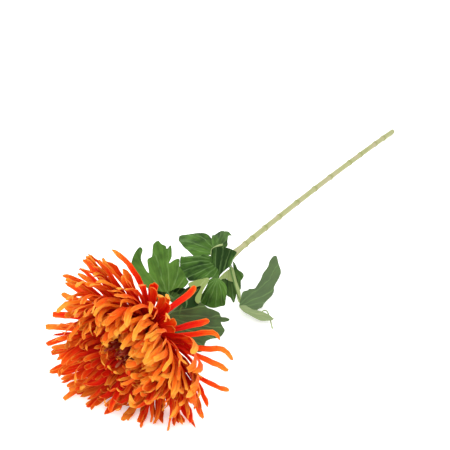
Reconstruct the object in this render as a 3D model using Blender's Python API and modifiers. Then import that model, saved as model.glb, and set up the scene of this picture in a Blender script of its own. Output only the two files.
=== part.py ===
# An artificial chrysanthemum, lying on a table: a large incurved bloom of cloth petals, its dark heart,
# a green calyx and stalk, ten lobed cloth leaves and a long pale plastic stem.
# Units are metres, +Z is up, and the table is the plane z = 0. While it is modelled, x = 0 is the middle of
# the bloom's core and +X runs along the stem to its cut end.

import math
import random

import bpy
import bmesh
from mathutils import Vector

# The line of the stem, from the bloom's core to the cut end
REACH = 0.561
CORE_HEIGHT = 0.065
NECK_HEIGHT = 0.066
END_HEIGHT = 0.0027
BOW = 1.5

# The round core that the petals grow from
FACE_TILT = math.radians(4)
CORE_RADIUS = 0.0150
CORE_HALF_DEPTH = 0.0115
CORE_FRONT = 0.0098
CORE_BACK = 0.0092
CORE_SIDES = 20
CORE_STEPS = 8

# Petals
PETAL_SEED = 11
KEEL = 0.25
ROOT_SUNK = 0.0018
WALK_STEPS = 24
FLOOR_EASE = 0.012
FLOOR_CLEAR = 0.0005
TABLE_SIZE = (0.8, 0.6, 0.1)
# Widths along a petal: share of its length, share of its full width
PETAL_OUTLINE = ((0.0, 0.28), (0.25, 0.58), (0.50, 0.86), (0.75, 1.0), (0.93, 0.86), (1.0, 0.46))
# Rings from the back of the bloom to its hollow: petals, seat on the core (degrees from the face),
# launch (degrees forward of square to the axis), inward bend (degrees), length, width
RINGS = (
    (27, 108, 2, 34, 0.083, 0.0064),
    (31, 97, 8, 62, 0.088, 0.0068),
    (34, 86, 16, 82, 0.086, 0.0072),
    (36, 75, 26, 90, 0.080, 0.0074),
    (30, 63, 38, 92, 0.062, 0.0074),
    (22, 50, 48, 86, 0.040, 0.0068),
)
# Petals on one side of the bloom are combed forward: azimuth of that side, and by how much in the outer rings
COMBED_AZIMUTH = math.radians(302)
COMBED_LEAN = (24, 16, 8, 3, 0, 0)
# The petals that the bloom lies on are shorter: azimuth of that side, and by what share of their length
PRESSED_AZIMUTH = math.radians(190)
PRESSED_SHARE = 0.10
LAUNCH_SPREAD = 6
BEND_SPREAD = 14
SWAY_SPREAD = 0.22
TWIST_SPREAD = 35
LENGTH_SPREAD = 0.06
WIDTH_SPREAD = 0.1
AZIMUTH_SPREAD = 0.22
BEND_POWER = 1.3
# Some tips hook further in: where along the petal, and by how many degrees
HOOK_SHARE = 0.78
HOOKS = (0, 0, 15, 40)
# Loose petals: azimuth (degrees from the top, towards +Y), launch, bend, length, sway, hook (degrees at the tip)
STRAYS = (
    (326, -58, 12, 0.060, 0.00, 30),
    (290, -40, 8, 0.054, 0.00, 10),
    (282, -28, 6, 0.066, 0.00, 100),
    (271, -16, 4, 0.082, 0.00, 95),
    (262, -12, 6, 0.079, 0.00, 15),
    (240, -8, 2, 0.088, -0.50, 15),
    (233, 4, 14, 0.086, 0.00, 10),
    (222, 6, 12, 0.094, 0.00, 15),
    (213, 8, 14, 0.090, 0.00, 15),
    (357, -2, 30, 0.094, -0.80, 30),
    (8, 0, 24, 0.088, -0.50, 30),
    (30, 8, 14, 0.080, 0.20, 10),
    (42, 8, 10, 0.079, 0.00, 30),
    (52, 12, 12, 0.078, -0.35, 15),
    (97, 14, 8, 0.087, 0.00, 12),
    (114, 12, 12, 0.088, 0.00, 20),
)
STRAY_SEAT = 99
STRAY_WIDTH = 0.0056
STRAY_TWIST = 20

# The heart: florets on a button that sits on the core's flat front
HEART_SEED = 5
GAP = 0.0003
BUTTON_RADIUS = 0.0066
BUTTON_HEIGHT = 0.003
FLORETS = 19
FLORET_LENGTH = 0.024
FLORET_WIDTH = 0.0034
FLORET_LENGTHS = (0.75, 1.1)
FLORET_BENDS = (10, 50)
HEART_SPREAD = 0.0059
HEART_LEAN = math.radians(22)
GOLDEN_ANGLE = math.radians(137.5)
FLORET_OUTLINE = ((0.0, 0.35), (0.5, 0.9), (0.85, 1.0), (1.0, 0.3))

# The calyx behind the core, with its bracts
CALYX_FRONT_RADIUS = 0.0088
CALYX_END = 0.0205
BRACTS = 9
BRACT_LENGTH = 0.011
BRACT_WIDTH = 0.0042
BRACT_LEAN = math.radians(48)
BRACT_BEND = math.radians(25)
BRACT_OUTLINE = ((0.0, 1.0), (0.5, 0.9), (1.0, 0.15))

# The green stalk and its collar, and the pale stem with its rings
STALK_RADIUS = 0.0033
STALK_END = 0.176
STALK_SIDES = 10
NECK_RUN = 0.012
BOW_START = 0.045
COLLAR_RADIUS = 0.0044
COLLAR_LENGTH = 0.016
COLLAR_TAPER = 0.003
SOCKET_DEPTH = 0.012
SOCKET_SIDES = 12
STEM_SIDES = 8
STEM_RADIUS = 0.0026
STEM_TIP_RADIUS = 0.0024
# Each ring: distance from its place along the stem, height above the stem
RING_PROFILE = ((-0.0036, 0), (-0.0009, 0.0005), (0.0018, 0.0002))
STEM_RINGS = (0.204, 0.219, 0.247, 0.278, 0.319, 0.361, 0.398, 0.446, 0.474, 0.513, 0.535)

# Leaves
LEAF_THICKNESS = 0.0008
LEAF_COLUMNS = 18
LINE_STEPS = 24
PETIOLE_COLUMNS = 4
PETIOLE_SLANT = 0.3
LOBES = 3
FEET_REACH = 0.70
RIB_LEAN = math.radians(78)
LEAF_CURL = 0.16
# The ripple in a blade: its height, and how many radians it runs through per metre, along and across
LEAF_WAVE = 0.0012
WAVE_ALONG = 210
WAVE_ACROSS = 60
# name: place along the stem, blade base, blade tip, bow (along the face), face, half widths (right and left,
# seen from its face), depth of the bays between lobes (1 is none), fold (degrees), half width of the petiole
LEAVES = {
    "leaf_1": (0.068, (0.071, 0.012, 0.064), (0.110, 0.050, 0.096), 0.005, (-0.65, -0.35, 0.65),
               (0.036, 0.047), 0.36, 10, 0.0013),
    "leaf_2": (0.150, (0.152, 0.014, 0.061), (0.181, 0.068, 0.048), 0.006, (-0.15, -0.10, 1.00),
               (0.021, 0.021), 0.80, 10, 0.0013),
    "leaf_3": (0.169, (0.173, 0.011, 0.063), (0.205, 0.023, 0.0595), 0.004, (-0.30, -0.30, 0.90),
               (0.014, 0.014), 0.80, 14, 0.0013),
    "leaf_4": (0.154, (0.152, 0.004, 0.0685), (0.153, -0.021, 0.061), 0.004, (-0.60, -0.30, 0.75),
               (0.017, 0.017), 0.70, 8, 0.0013),
    "leaf_5": (0.136, (0.134, 0.007, 0.068), (0.099, 0.018, 0.074), 0.004, (-0.25, -0.35, 0.90),
               (0.019, 0.019), 0.78, 10, 0.0013),
    "leaf_6": (0.119, (0.117, -0.007, 0.060), (0.105, -0.025, 0.037), 0.003, (-0.72, -0.41, 0.56),
               (0.017, 0.017), 0.85, 6, 0.0013),
    "leaf_7": (0.100, (0.097, -0.008, 0.052), (0.077, -0.021, 0.0055), 0.004, (-0.72, -0.55, 0.20),
               (0.031, 0.031), 0.55, 8, 0.0013),
    "leaf_8": (0.166, (0.155, -0.031, 0.0075), (0.232, -0.026, 0.026), -0.004, (-0.15, -0.22, 0.95),
               (0.024, 0.016), 0.66, 14, 0.0026),
    "leaf_9": (0.171, (0.171, -0.003, 0.043), (0.158, -0.007, 0.008), 0.002, (-0.70, -0.40, 0.30),
               (0.015, 0.015), 0.70, 8, 0.0013),
    "leaf_10": (0.117, (0.115, -0.004, 0.0675), (0.091, -0.005, 0.070), 0.002, (-0.40, -0.40, 0.80),
                (0.004, 0.004), 0.95, 16, 0.0010),
}
SHARP_ANGLE = math.radians(40)

# Colours (linear RGB)
PETAL_ORANGE = (0.90, 0.16, 0.012)
HEART_MAROON = (0.16, 0.012, 0.006)
CALYX_GREEN = (0.07, 0.14, 0.03)
STALK_GREEN = (0.10, 0.18, 0.04)
STEM_PALE = (0.58, 0.60, 0.29)
LEAF_GREEN = (0.035, 0.13, 0.035)

FACE = Vector((-math.cos(FACE_TILT), 0, math.sin(FACE_TILT)))
SIDE = Vector((0, 1, 0))
RISE = SIDE.cross(FACE)
CORE = Vector((0, 0, CORE_HEIGHT))


def clear_scene():
    """Start from an empty scene."""
    for thing in list(bpy.context.scene.objects):
        bpy.data.objects.remove(thing, do_unlink=True)


def new_collection(name):
    """A collection linked into the scene."""
    group = bpy.data.collections.new(name)
    bpy.context.scene.collection.children.link(group)
    return group


def new_material(name, colour, roughness):
    """A plain Principled material."""
    material = bpy.data.materials.new(name)
    material.use_nodes = True
    shader = material.node_tree.nodes["Principled BSDF"]
    shader.inputs["Base Color"].default_value = (*colour, 1)
    shader.inputs["Roughness"].default_value = roughness
    material.diffuse_color = (*colour, 1)
    return material


def new_object(name, mesh, group, material=None):
    """An object for a mesh, in its collection."""
    thing = bpy.data.objects.new(name, mesh)
    group.objects.link(thing)
    if material:
        mesh.materials.append(material)
    return thing


def mesh_from(name, points, faces):
    """A mesh with its faces turned outwards."""
    mesh = bpy.data.meshes.new(name)
    mesh.from_pydata(points, [], faces)
    sheet = bmesh.new()
    sheet.from_mesh(mesh)
    bmesh.ops.recalc_face_normals(sheet, faces=sheet.faces)
    sheet.to_mesh(mesh)
    sheet.free()
    return mesh


def apply_modifiers(thing):
    """Keep the shape that the modifiers give."""
    bpy.context.view_layer.update()
    graph = bpy.context.evaluated_depsgraph_get()
    finished = bpy.data.meshes.new_from_object(thing.evaluated_get(graph))
    thing.modifiers.clear()
    thing.data = finished


def boolean(thing, operation, other=None, group=None, solver="EXACT"):
    """Join or cut with another object or a collection, and keep the result."""
    change = thing.modifiers.new(operation.lower(), "BOOLEAN")
    change.operation = operation
    change.solver = solver
    if group:
        change.operand_type = "COLLECTION"
        change.collection = group
    else:
        change.object = other
    apply_modifiers(thing)


def stem_point(x):
    """The middle of the stem at a distance from the core."""
    fall = (NECK_HEIGHT - END_HEIGHT) * (x / REACH) ** BOW
    return Vector((x, 0, NECK_HEIGHT - fall))


def around(azimuth):
    """The direction away from the bloom's axis; 0 is up and a quarter turn is +Y."""
    return RISE * math.cos(azimuth) + SIDE * math.sin(azimuth)


def core_point(seat, azimuth):
    """A place on the core's round surface, by its angle from the face and round the axis."""
    along = CORE_HALF_DEPTH * math.cos(seat)
    return CORE + FACE * along + around(azimuth) * (CORE_RADIUS * math.sin(seat))


def petal_walk(azimuth, seat, launch, bend, length, sway, twist, hook):
    """Centreline, inner side and across of a petal, from root to tip; it levels out above the table."""
    outward = around(azimuth)
    across = outward.cross(FACE)
    normal = FACE * math.cos(launch) - outward * math.sin(launch)
    heading = outward * math.cos(launch) + FACE * math.sin(launch)
    point = core_point(seat, azimuth) - heading * ROOT_SUNK
    stride = (length + ROOT_SUNK) / WALK_STEPS
    walk = []
    for step in range(WALK_STEPS + 1):
        share = step / WALK_STEPS
        hooked = max(0, (share - HOOK_SHARE) / (1 - HOOK_SHARE))
        angle = launch + bend * share ** BEND_POWER + hook * hooked
        heading = outward * math.cos(angle) + FACE * math.sin(angle) + across * (sway * share)
        heading.normalize()
        fall = min(1.0, (point.z - FLOOR_CLEAR) / FLOOR_EASE)
        if heading.z < -fall:
            level = Vector((heading.x, heading.y, 0)).normalized()
            heading = level * math.sqrt(1 - fall * fall) - Vector((0, 0, fall))
        normal = (normal - heading * normal.dot(heading)).normalized()
        side = heading.cross(normal)
        turn = twist * share
        turned = normal * math.cos(turn) + side * math.sin(turn)
        walk.append((point.copy(), turned, heading.cross(turned)))
        point = point + heading * stride
    return walk


def petal_draws():
    """Every petal's numbers, drawn in one fixed order."""
    draw = random.Random(PETAL_SEED)
    petals = []
    for index, (count, seat, launch, bend, length, width) in enumerate(RINGS):
        for number in range(count):
            place = number + 0.5 * (index % 2) + draw.uniform(-AZIMUTH_SPREAD, AZIMUTH_SPREAD)
            azimuth = math.tau * place / count
            combed = COMBED_LEAN[index] * max(0, math.cos(azimuth - COMBED_AZIMUTH)) ** 2
            pressed = PRESSED_SHARE * max(0, math.cos(azimuth - PRESSED_AZIMUTH)) ** 2
            petals.append((
                azimuth,
                math.radians(seat),
                math.radians(launch + combed + draw.uniform(-LAUNCH_SPREAD, LAUNCH_SPREAD)),
                math.radians(bend + draw.uniform(-BEND_SPREAD, BEND_SPREAD)),
                length * (1 - pressed) * (1 + draw.uniform(-LENGTH_SPREAD, LENGTH_SPREAD)),
                draw.uniform(-SWAY_SPREAD, SWAY_SPREAD),
                math.radians(draw.uniform(-TWIST_SPREAD, TWIST_SPREAD)),
                math.radians(draw.choice(HOOKS)),
                width * (1 + draw.uniform(-WIDTH_SPREAD, WIDTH_SPREAD)),
            ))
    for azimuth, launch, bend, length, sway, hook in STRAYS:
        petals.append((
            math.radians(azimuth),
            math.radians(STRAY_SEAT),
            math.radians(launch),
            math.radians(bend),
            length,
            sway,
            math.radians(draw.uniform(-STRAY_TWIST, STRAY_TWIST)),
            math.radians(hook),
            STRAY_WIDTH,
        ))
    return petals


def keeled_blade(name, walk, width, outline):
    """A strap with a keel along its outer side: three corners at each station, closed at both ends."""
    points = []
    for share, part in outline:
        middle, inner, across = walk[round(share * (len(walk) - 1))]
        half = width * part / 2
        lift = inner * (width * part * KEEL / 2)
        points += [middle - across * half + lift, middle + across * half + lift, middle - lift]
    faces = [(2, 1, 0)]
    stations = len(outline)
    for station in range(stations - 1):
        low, high = 3 * station, 3 * station + 3
        for corner in range(3):
            after = (corner + 1) % 3
            faces.append((low + corner, low + after, high + after))
            faces.append((low + corner, high + after, high + corner))
    last = 3 * (stations - 1)
    faces.append((last, last + 1, last + 2))
    return mesh_from(name, points, faces)


def turned_solid(name, profile, group, material, sides, centre, axis):
    """A solid turned from (distance along the axis, radius) pairs, then set at centre, facing axis."""
    rows = [(radius, 0, along) for along, radius in profile]
    mesh = bpy.data.meshes.new(name)
    mesh.from_pydata(rows, [(i, i + 1) for i in range(len(rows) - 1)], [])
    thing = new_object(name, mesh, group, material)
    screw = thing.modifiers.new("turn", "SCREW")
    screw.steps = sides
    screw.render_steps = sides
    screw.use_merge_vertices = True
    screw.merge_threshold = 0.00005
    apply_modifiers(thing)
    thing.location = centre
    thing.rotation_mode = "QUATERNION"
    thing.rotation_quaternion = Vector((0, 0, 1)).rotation_difference(axis)
    sheet = bmesh.new()
    sheet.from_mesh(thing.data)
    bmesh.ops.remove_doubles(sheet, verts=sheet.verts, dist=0.00001)
    bmesh.ops.recalc_face_normals(sheet, faces=sheet.faces)
    sheet.to_mesh(thing.data)
    sheet.free()
    return thing


def floor_cutter(group):
    """A block whose top is the table, for the petals that lie on it."""
    bpy.ops.mesh.primitive_cube_add(size=1, location=(0, 0, -TABLE_SIZE[2] / 2))
    block = bpy.context.object
    block.name = "table_cutter"
    block.scale = TABLE_SIZE
    bpy.ops.object.transform_apply(scale=True)
    for owner in list(block.users_collection):
        owner.objects.unlink(block)
    group.objects.link(block)
    block.hide_render = True
    block.display_type = "WIRE"
    return block


def join_collection(base, group):
    """Grow a collection of blades into the solid that they stand on, then drop the loose copies."""
    boolean(base, "UNION", group=group, solver="MANIFOLD")
    for blade in list(group.objects):
        bpy.data.objects.remove(blade, do_unlink=True)
    bpy.data.collections.remove(group)


def make_bloom(group, table, material):
    """The core with all its petals grown together, trimmed flat where they lie on the table."""
    first = math.acos(CORE_FRONT / CORE_HALF_DEPTH)
    last = math.pi - math.acos(CORE_BACK / CORE_HALF_DEPTH)
    profile = [(CORE_FRONT, 0)]
    for step in range(CORE_STEPS + 1):
        angle = first + (last - first) * step / CORE_STEPS
        profile.append((CORE_HALF_DEPTH * math.cos(angle), CORE_RADIUS * math.sin(angle)))
    profile.append((-CORE_BACK, 0))
    bloom = turned_solid("bloom", profile, group, material, CORE_SIDES, CORE, FACE)
    petals = bpy.data.collections.new("petals")
    for number, (*shape, width) in enumerate(petal_draws()):
        mesh = keeled_blade(f"petal_{number}", petal_walk(*shape), width, PETAL_OUTLINE)
        petals.objects.link(bpy.data.objects.new("petal", mesh))
    join_collection(bloom, petals)
    boolean(bloom, "DIFFERENCE", other=table, solver="MANIFOLD")
    return bloom


def bend_walk(start, heading, normal, turn, length):
    """Stations of a short blade that bends towards its inner side as it grows."""
    walk = []
    point = start.copy()
    for step in range(WALK_STEPS + 1):
        walk.append((point.copy(), normal.copy(), heading.cross(normal)))
        bent = heading * math.cos(turn / WALK_STEPS) + normal * math.sin(turn / WALK_STEPS)
        normal = normal * math.cos(turn / WALK_STEPS) - heading * math.sin(turn / WALK_STEPS)
        heading = bent
        point = point + heading * (length / WALK_STEPS)
    return walk


def make_heart(group, material):
    """Small florets crowded on a low button."""
    seat = CORE + FACE * (CORE_FRONT + GAP)
    profile = [(BUTTON_HEIGHT, 0), (BUTTON_HEIGHT, BUTTON_RADIUS * 0.7), (BUTTON_HEIGHT * 0.5, BUTTON_RADIUS),
               (0, BUTTON_RADIUS), (0, 0)]
    heart = turned_solid("heart", profile, group, material, 12, seat, FACE)
    draw = random.Random(HEART_SEED)
    florets = bpy.data.collections.new("florets")
    for number in range(FLORETS):
        share = math.sqrt((number + 0.5) / FLORETS)
        azimuth = number * GOLDEN_ANGLE
        outward = around(azimuth)
        lean = HEART_LEAN * share
        heading = (FACE * math.cos(lean) + outward * math.sin(lean)).normalized()
        normal = (FACE * math.sin(lean) - outward * math.cos(lean)).normalized()
        start = seat + FACE * (BUTTON_HEIGHT * 0.4) + outward * (HEART_SPREAD * share)
        length = FLORET_LENGTH * draw.uniform(*FLORET_LENGTHS)
        walk = bend_walk(start, heading, normal, math.radians(draw.uniform(*FLORET_BENDS)), length)
        mesh = keeled_blade(f"floret_{number}", walk, FLORET_WIDTH, FLORET_OUTLINE)
        florets.objects.link(bpy.data.objects.new("floret", mesh))
    join_collection(heart, florets)
    return heart


def make_calyx(group, material):
    """The green cup behind the core, with bracts that lean back along the stalk."""
    seat = CORE - FACE * (CORE_BACK + GAP)
    depth = CALYX_END - CORE_BACK
    profile = [(0, 0), (0, CALYX_FRONT_RADIUS), (-depth * 0.25, CALYX_FRONT_RADIUS),
               (-depth * 0.65, CALYX_FRONT_RADIUS * 0.66), (-depth, STALK_RADIUS), (-depth, 0)]
    calyx = turned_solid("calyx", profile, group, material, 16, seat, FACE)
    bracts = bpy.data.collections.new("bracts")
    for number in range(BRACTS):
        outward = around(math.tau * number / BRACTS)
        heading = (outward * math.cos(BRACT_LEAN) - FACE * math.sin(BRACT_LEAN)).normalized()
        normal = (FACE * math.cos(BRACT_LEAN) + outward * math.sin(BRACT_LEAN)).normalized()
        start = seat - FACE * (depth * 0.28) + outward * (CALYX_FRONT_RADIUS * 0.8)
        walk = bend_walk(start, heading, normal, BRACT_BEND, BRACT_LENGTH)
        mesh = keeled_blade(f"bract_{number}", walk, BRACT_WIDTH, BRACT_OUTLINE)
        bracts.objects.link(bpy.data.objects.new("bract", mesh))
    join_collection(calyx, bracts)
    return calyx


def tube(name, stations, group, material, sides):
    """A round rod with closed ends, through (point, radius) stations."""
    curve = bpy.data.curves.new(name, "CURVE")
    curve.dimensions = "3D"
    curve.bevel_depth = 1.0
    curve.bevel_resolution = (sides - 4) // 2
    curve.use_fill_caps = True
    line = curve.splines.new("POLY")
    line.points.add(len(stations) - 1)
    for point, (place, radius) in zip(line.points, stations):
        point.co = (*place, 1)
        point.radius = radius
    wire = bpy.data.objects.new(name + "_line", curve)
    group.objects.link(wire)
    bpy.context.view_layer.update()
    mesh = bpy.data.meshes.new_from_object(wire.evaluated_get(bpy.context.evaluated_depsgraph_get()))
    bpy.data.objects.remove(wire, do_unlink=True)
    mesh.name = name
    mesh.materials.clear()
    sheet = bmesh.new()
    sheet.from_mesh(mesh)
    bmesh.ops.remove_doubles(sheet, verts=sheet.verts, dist=0.00001)
    bmesh.ops.recalc_face_normals(sheet, faces=sheet.faces)
    sheet.to_mesh(mesh)
    sheet.free()
    return new_object(name, mesh, group, material)


def make_stalk(group, cutters, material):
    """The green upper stem: a neck, a gentle bow and a collar with a socket."""
    neck = CORE - FACE * (CALYX_END + 2 * GAP)
    stations = [(neck, STALK_RADIUS), (neck - FACE * NECK_RUN, STALK_RADIUS)]
    collar_start = STALK_END - COLLAR_LENGTH
    for step in range(1, 8):
        x = BOW_START + (collar_start - BOW_START) * step / 7
        stations.append((stem_point(x), STALK_RADIUS))
    stations.append((stem_point(collar_start + COLLAR_TAPER), COLLAR_RADIUS))
    stations.append((stem_point(STALK_END), COLLAR_RADIUS))
    stalk = tube("stalk", stations, group, material, STALK_SIDES)
    bore = STEM_RADIUS + GAP
    run = [(stem_point(STALK_END - SOCKET_DEPTH), bore), (stem_point(STALK_END + COLLAR_TAPER), bore)]
    cutter = tube("socket_cutter", run, cutters, None, SOCKET_SIDES)
    cutter.hide_render = True
    cutter.display_type = "WIRE"
    boolean(stalk, "DIFFERENCE", other=cutter)
    return stalk


def make_stem(group, material):
    """The pale plastic stem, plugged into the collar, with its low moulded rings."""
    first = STALK_END - SOCKET_DEPTH + 2 * GAP
    stations = [(stem_point(first), STEM_RADIUS), (stem_point(STALK_END + 0.002), STEM_RADIUS)]
    for x in STEM_RINGS:
        share = (x - first) / (REACH - first)
        radius = STEM_RADIUS + (STEM_TIP_RADIUS - STEM_RADIUS) * share
        for offset, rise in RING_PROFILE:
            stations.append((stem_point(x + offset), radius + rise))
    stations.append((stem_point(REACH), STEM_TIP_RADIUS))
    return tube("stem", stations, group, material, STEM_SIDES)


def smooth_line(points):
    """Stations of a smooth curve through a few points, LINE_STEPS of them from each point to the next."""
    whole = [points[0] * 2 - points[1], *points, points[-1] * 2 - points[-2]]
    dense = []
    for index in range(1, len(whole) - 2):
        a, b, c, d = whole[index - 1:index + 3]
        for step in range(LINE_STEPS):
            t = step / LINE_STEPS
            dense.append((b * 2 + (c - a) * t + (a * 2 - b * 5 + c * 4 - d) * t ** 2
                          + (b * 3 - a - c * 3 + d) * t ** 3) / 2)
    dense.append(points[-1])
    return dense


def line_length(dense):
    """The length of a dense line."""
    return sum((high - low).length for low, high in zip(dense, dense[1:]))


def line_place(dense, distance):
    """The point and direction at a distance along a dense line, straight on past its ends."""
    travelled = 0
    for low, high in zip(dense, dense[1:]):
        gap = (high - low).length
        if travelled + gap >= distance or high is dense[-1]:
            heading = (high - low).normalized()
            return low + heading * (distance - travelled), heading
        travelled += gap


def leaf_outline(length, half_width, bays, petiole_half):
    """Feet on the midrib and margin points of one half of a lobed blade, as (along, across) pairs."""
    rows = []
    for column in range(LEAF_COLUMNS + 1):
        t = column / LEAF_COLUMNS
        foot = FEET_REACH * t * length
        lean = RIB_LEAN * (1 - t) ** 0.8
        cycle = t * LOBES
        if cycle < LOBES - 1:
            comb = abs(math.sin(math.pi * cycle)) ** 0.7
        else:
            comb = math.sin(math.pi / 2 * (cycle - LOBES + 1)) ** 0.8
        side_reach = half_width * (0.80 + 0.35 * t)
        reach = (1 - t ** 3) * side_reach + t ** 3 * (1 - FEET_REACH) * length
        spread = reach * (bays + (1 - bays) * comb)
        if column == 0:
            spread = petiole_half
        rows.append(((foot, 0), (foot + spread * math.cos(lean), spread * math.sin(lean))))
    return rows


def make_leaf(name, plan, group, material):
    """A lobed blade on its petiole: a flat outline laid along a bent midrib, then given its thickness."""
    root_x, base, tip, bow, face, half_widths, bays, fold, petiole_half = plan
    base, tip, face = Vector(base), Vector(tip), Vector(face).normalized()
    spine = stem_point(root_x)
    leave = base - spine
    leave.x *= PETIOLE_SLANT
    radius = STALK_RADIUS if root_x < STALK_END - COLLAR_LENGTH else COLLAR_RADIUS
    root = spine + leave.normalized() * (radius + GAP)
    middle = (base + tip) / 2 + face * bow
    dense = smooth_line([root, base, middle, tip])
    petiole = line_length(dense[:LINE_STEPS + 1])
    length = line_length(dense[LINE_STEPS:])

    def place(along, across):
        point, heading = line_place(dense, max(0, along + petiole))
        normal = (face - heading * face.dot(heading)).normalized()
        side = heading.cross(normal)
        half_width = half_widths[0] if across > 0 else half_widths[1]
        lift = abs(across) * math.tan(math.radians(fold))
        curl = -LEAF_CURL * (across / half_width) ** 2 * half_width
        ripple = math.sin(along * WAVE_ALONG + across * WAVE_ACROSS)
        wave = LEAF_WAVE * ripple * min(1, abs(across) / half_width)
        return point + side * across + normal * (lift + curl + wave) - root

    points, faces = [], []

    def add_point(along, across):
        points.append(place(along, across))
        return len(points) - 1

    ribs = [add_point(-petiole * (1 - step / PETIOLE_COLUMNS), 0) for step in range(PETIOLE_COLUMNS)]
    ribs += [add_point(FEET_REACH * length * column / LEAF_COLUMNS, 0) for column in range(LEAF_COLUMNS)]
    ribs.append(add_point(length, 0))
    for sign, half_width in zip((1, -1), half_widths):
        outline = leaf_outline(length, half_width, bays, petiole_half)
        edges = [[add_point(-petiole * (1 - step / PETIOLE_COLUMNS), sign * petiole_half)]
                 for step in range(PETIOLE_COLUMNS)]
        for column, (foot, margin) in enumerate(outline):
            if column == LEAF_COLUMNS:
                edges.append([])
            elif column == 0:
                edges.append([add_point(margin[0], sign * margin[1])])
            else:
                half = ((foot[0] + margin[0]) / 2, (foot[1] + margin[1]) / 2)
                edges.append([add_point(half[0], sign * half[1]), add_point(margin[0], sign * margin[1])])
        for column in range(len(ribs) - 1):
            here = [ribs[column], *edges[column]]
            there = [ribs[column + 1], *edges[column + 1]]
            for quad in strip_faces(here, there):
                faces.append(quad if sign > 0 else quad[::-1])
    mesh = bpy.data.meshes.new(name)
    mesh.from_pydata(points, [], faces)
    leaf = new_object(name, mesh, group, material)
    leaf.location = root
    wall = leaf.modifiers.new("cloth", "SOLIDIFY")
    wall.thickness = LEAF_THICKNESS
    wall.offset = 0
    apply_modifiers(leaf)
    return leaf


def strip_faces(here, there):
    """Triangles between two columns of points that start at the midrib and may differ in count."""
    faces = []
    low, high = 0, 0
    while low < len(here) - 1 or high < len(there) - 1:
        if high < len(there) - 1 and (low == len(here) - 1 or high <= low):
            faces.append((here[low], there[high], there[high + 1]))
            high += 1
        else:
            faces.append((here[low], there[high], here[low + 1]))
            low += 1
    return faces


def stand_on_origin(group):
    """Hang every piece on one empty, placed so that the origin is the middle of the part's bottom."""
    bpy.context.view_layer.update()
    corners = [thing.matrix_world @ vertex.co for thing in group.objects for vertex in thing.data.vertices]
    low = [min(corner[axis] for corner in corners) for axis in range(3)]
    high = [max(corner[axis] for corner in corners) for axis in range(3)]
    holder = bpy.data.objects.new("flower", None)
    for thing in list(group.objects):
        thing.parent = holder
    group.objects.link(holder)
    holder.location = (-(low[0] + high[0]) / 2, -(low[1] + high[1]) / 2, -low[2])


def shade_round(group):
    """Smooth shading, with the sharp edges kept."""
    for thing in group.objects:
        if thing.type == "MESH":
            thing.data.shade_smooth()
            thing.data.set_sharp_from_angle(angle=SHARP_ANGLE)


def main():
    """Build every sub-part, then stand the whole on its own origin."""
    clear_scene()
    parts = new_collection("chrysanthemum")
    cutters = new_collection("cutters")
    table = floor_cutter(cutters)
    petal_cloth = new_material("orange petal cloth", PETAL_ORANGE, 0.75)
    heart_cloth = new_material("maroon floret cloth", HEART_MAROON, 0.8)
    calyx_plastic = new_material("moulded calyx plastic", CALYX_GREEN, 0.5)
    stalk_plastic = new_material("moulded green plastic", STALK_GREEN, 0.5)
    stem_plastic = new_material("moulded pale plastic", STEM_PALE, 0.45)
    leaf_cloth = new_material("green leaf cloth", LEAF_GREEN, 0.7)
    make_bloom(parts, table, petal_cloth)
    make_heart(parts, heart_cloth)
    make_calyx(parts, calyx_plastic)
    make_stalk(parts, cutters, stalk_plastic)
    make_stem(parts, stem_plastic)
    for name, plan in LEAVES.items():
        make_leaf(name, plan, parts, leaf_cloth)
    stand_on_origin(parts)
    shade_round(parts)


main()
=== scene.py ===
# %% [markdown]
# # The looks of an artificial chrysanthemum
# One stem of a cloth chrysanthemum lies on a pale table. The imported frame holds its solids: a bloom, its
# heart, a calyx, a stalk, a stem and ten leaves. Each of them is replaced here by a finer piece of the same
# kind, in the same place, with the finish of dyed cloth or moulded plastic.
# The frame could be dressed with materials alone. A real petal is a thin, curled and creased strap of cloth,
# though, so every piece is modelled again over the solids.

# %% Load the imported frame
import math
import random

import bpy
from mathutils import Matrix, Vector
from mathutils.kdtree import KDTree


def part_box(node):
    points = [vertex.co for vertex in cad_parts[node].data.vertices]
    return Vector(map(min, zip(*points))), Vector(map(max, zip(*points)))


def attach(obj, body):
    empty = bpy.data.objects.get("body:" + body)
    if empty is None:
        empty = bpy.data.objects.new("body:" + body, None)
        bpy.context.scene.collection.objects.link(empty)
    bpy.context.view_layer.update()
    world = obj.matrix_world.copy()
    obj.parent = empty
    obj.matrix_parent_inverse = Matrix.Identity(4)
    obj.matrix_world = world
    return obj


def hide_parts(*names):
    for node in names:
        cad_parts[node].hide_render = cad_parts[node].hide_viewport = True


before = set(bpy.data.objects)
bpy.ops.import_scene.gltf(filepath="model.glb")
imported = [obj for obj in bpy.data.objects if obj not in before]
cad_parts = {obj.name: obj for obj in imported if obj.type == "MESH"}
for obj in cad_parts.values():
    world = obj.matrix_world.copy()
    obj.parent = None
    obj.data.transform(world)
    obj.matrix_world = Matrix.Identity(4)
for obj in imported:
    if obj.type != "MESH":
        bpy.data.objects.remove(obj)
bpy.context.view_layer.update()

# %% [markdown]
# ## Where things are
# The solids stand on the middle of their box, while the flower is easiest to think of from its bloom: x = 0
# is the middle of the bloom's core and +X runs along the stem. The stem's own box gives the way from one to
# the other, so a new pack with the same stem needs no change here.

# %% Place the flower in the frame
# How far the stem reaches from the core, and the heights of the core and of the stem's two ends (m)
REACH = 0.561
CORE_HEIGHT = 0.065
NECK_HEIGHT = 0.066
END_HEIGHT = 0.0027
# Above 1 the stem starts level and falls faster towards its end
BOW = 1.5

stem_low, stem_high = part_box("stem")
FOOT = Vector((stem_high.x - REACH, (stem_low.y + stem_high.y) / 2, 0))
CORE = FOOT + Vector((0, 0, CORE_HEIGHT))


def stem_point(x):
    """The middle of the stem at a distance from the core."""
    fall = (NECK_HEIGHT - END_HEIGHT) * (max(0, x) / REACH) ** BOW
    return FOOT + Vector((x, 0, NECK_HEIGHT - fall))


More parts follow.
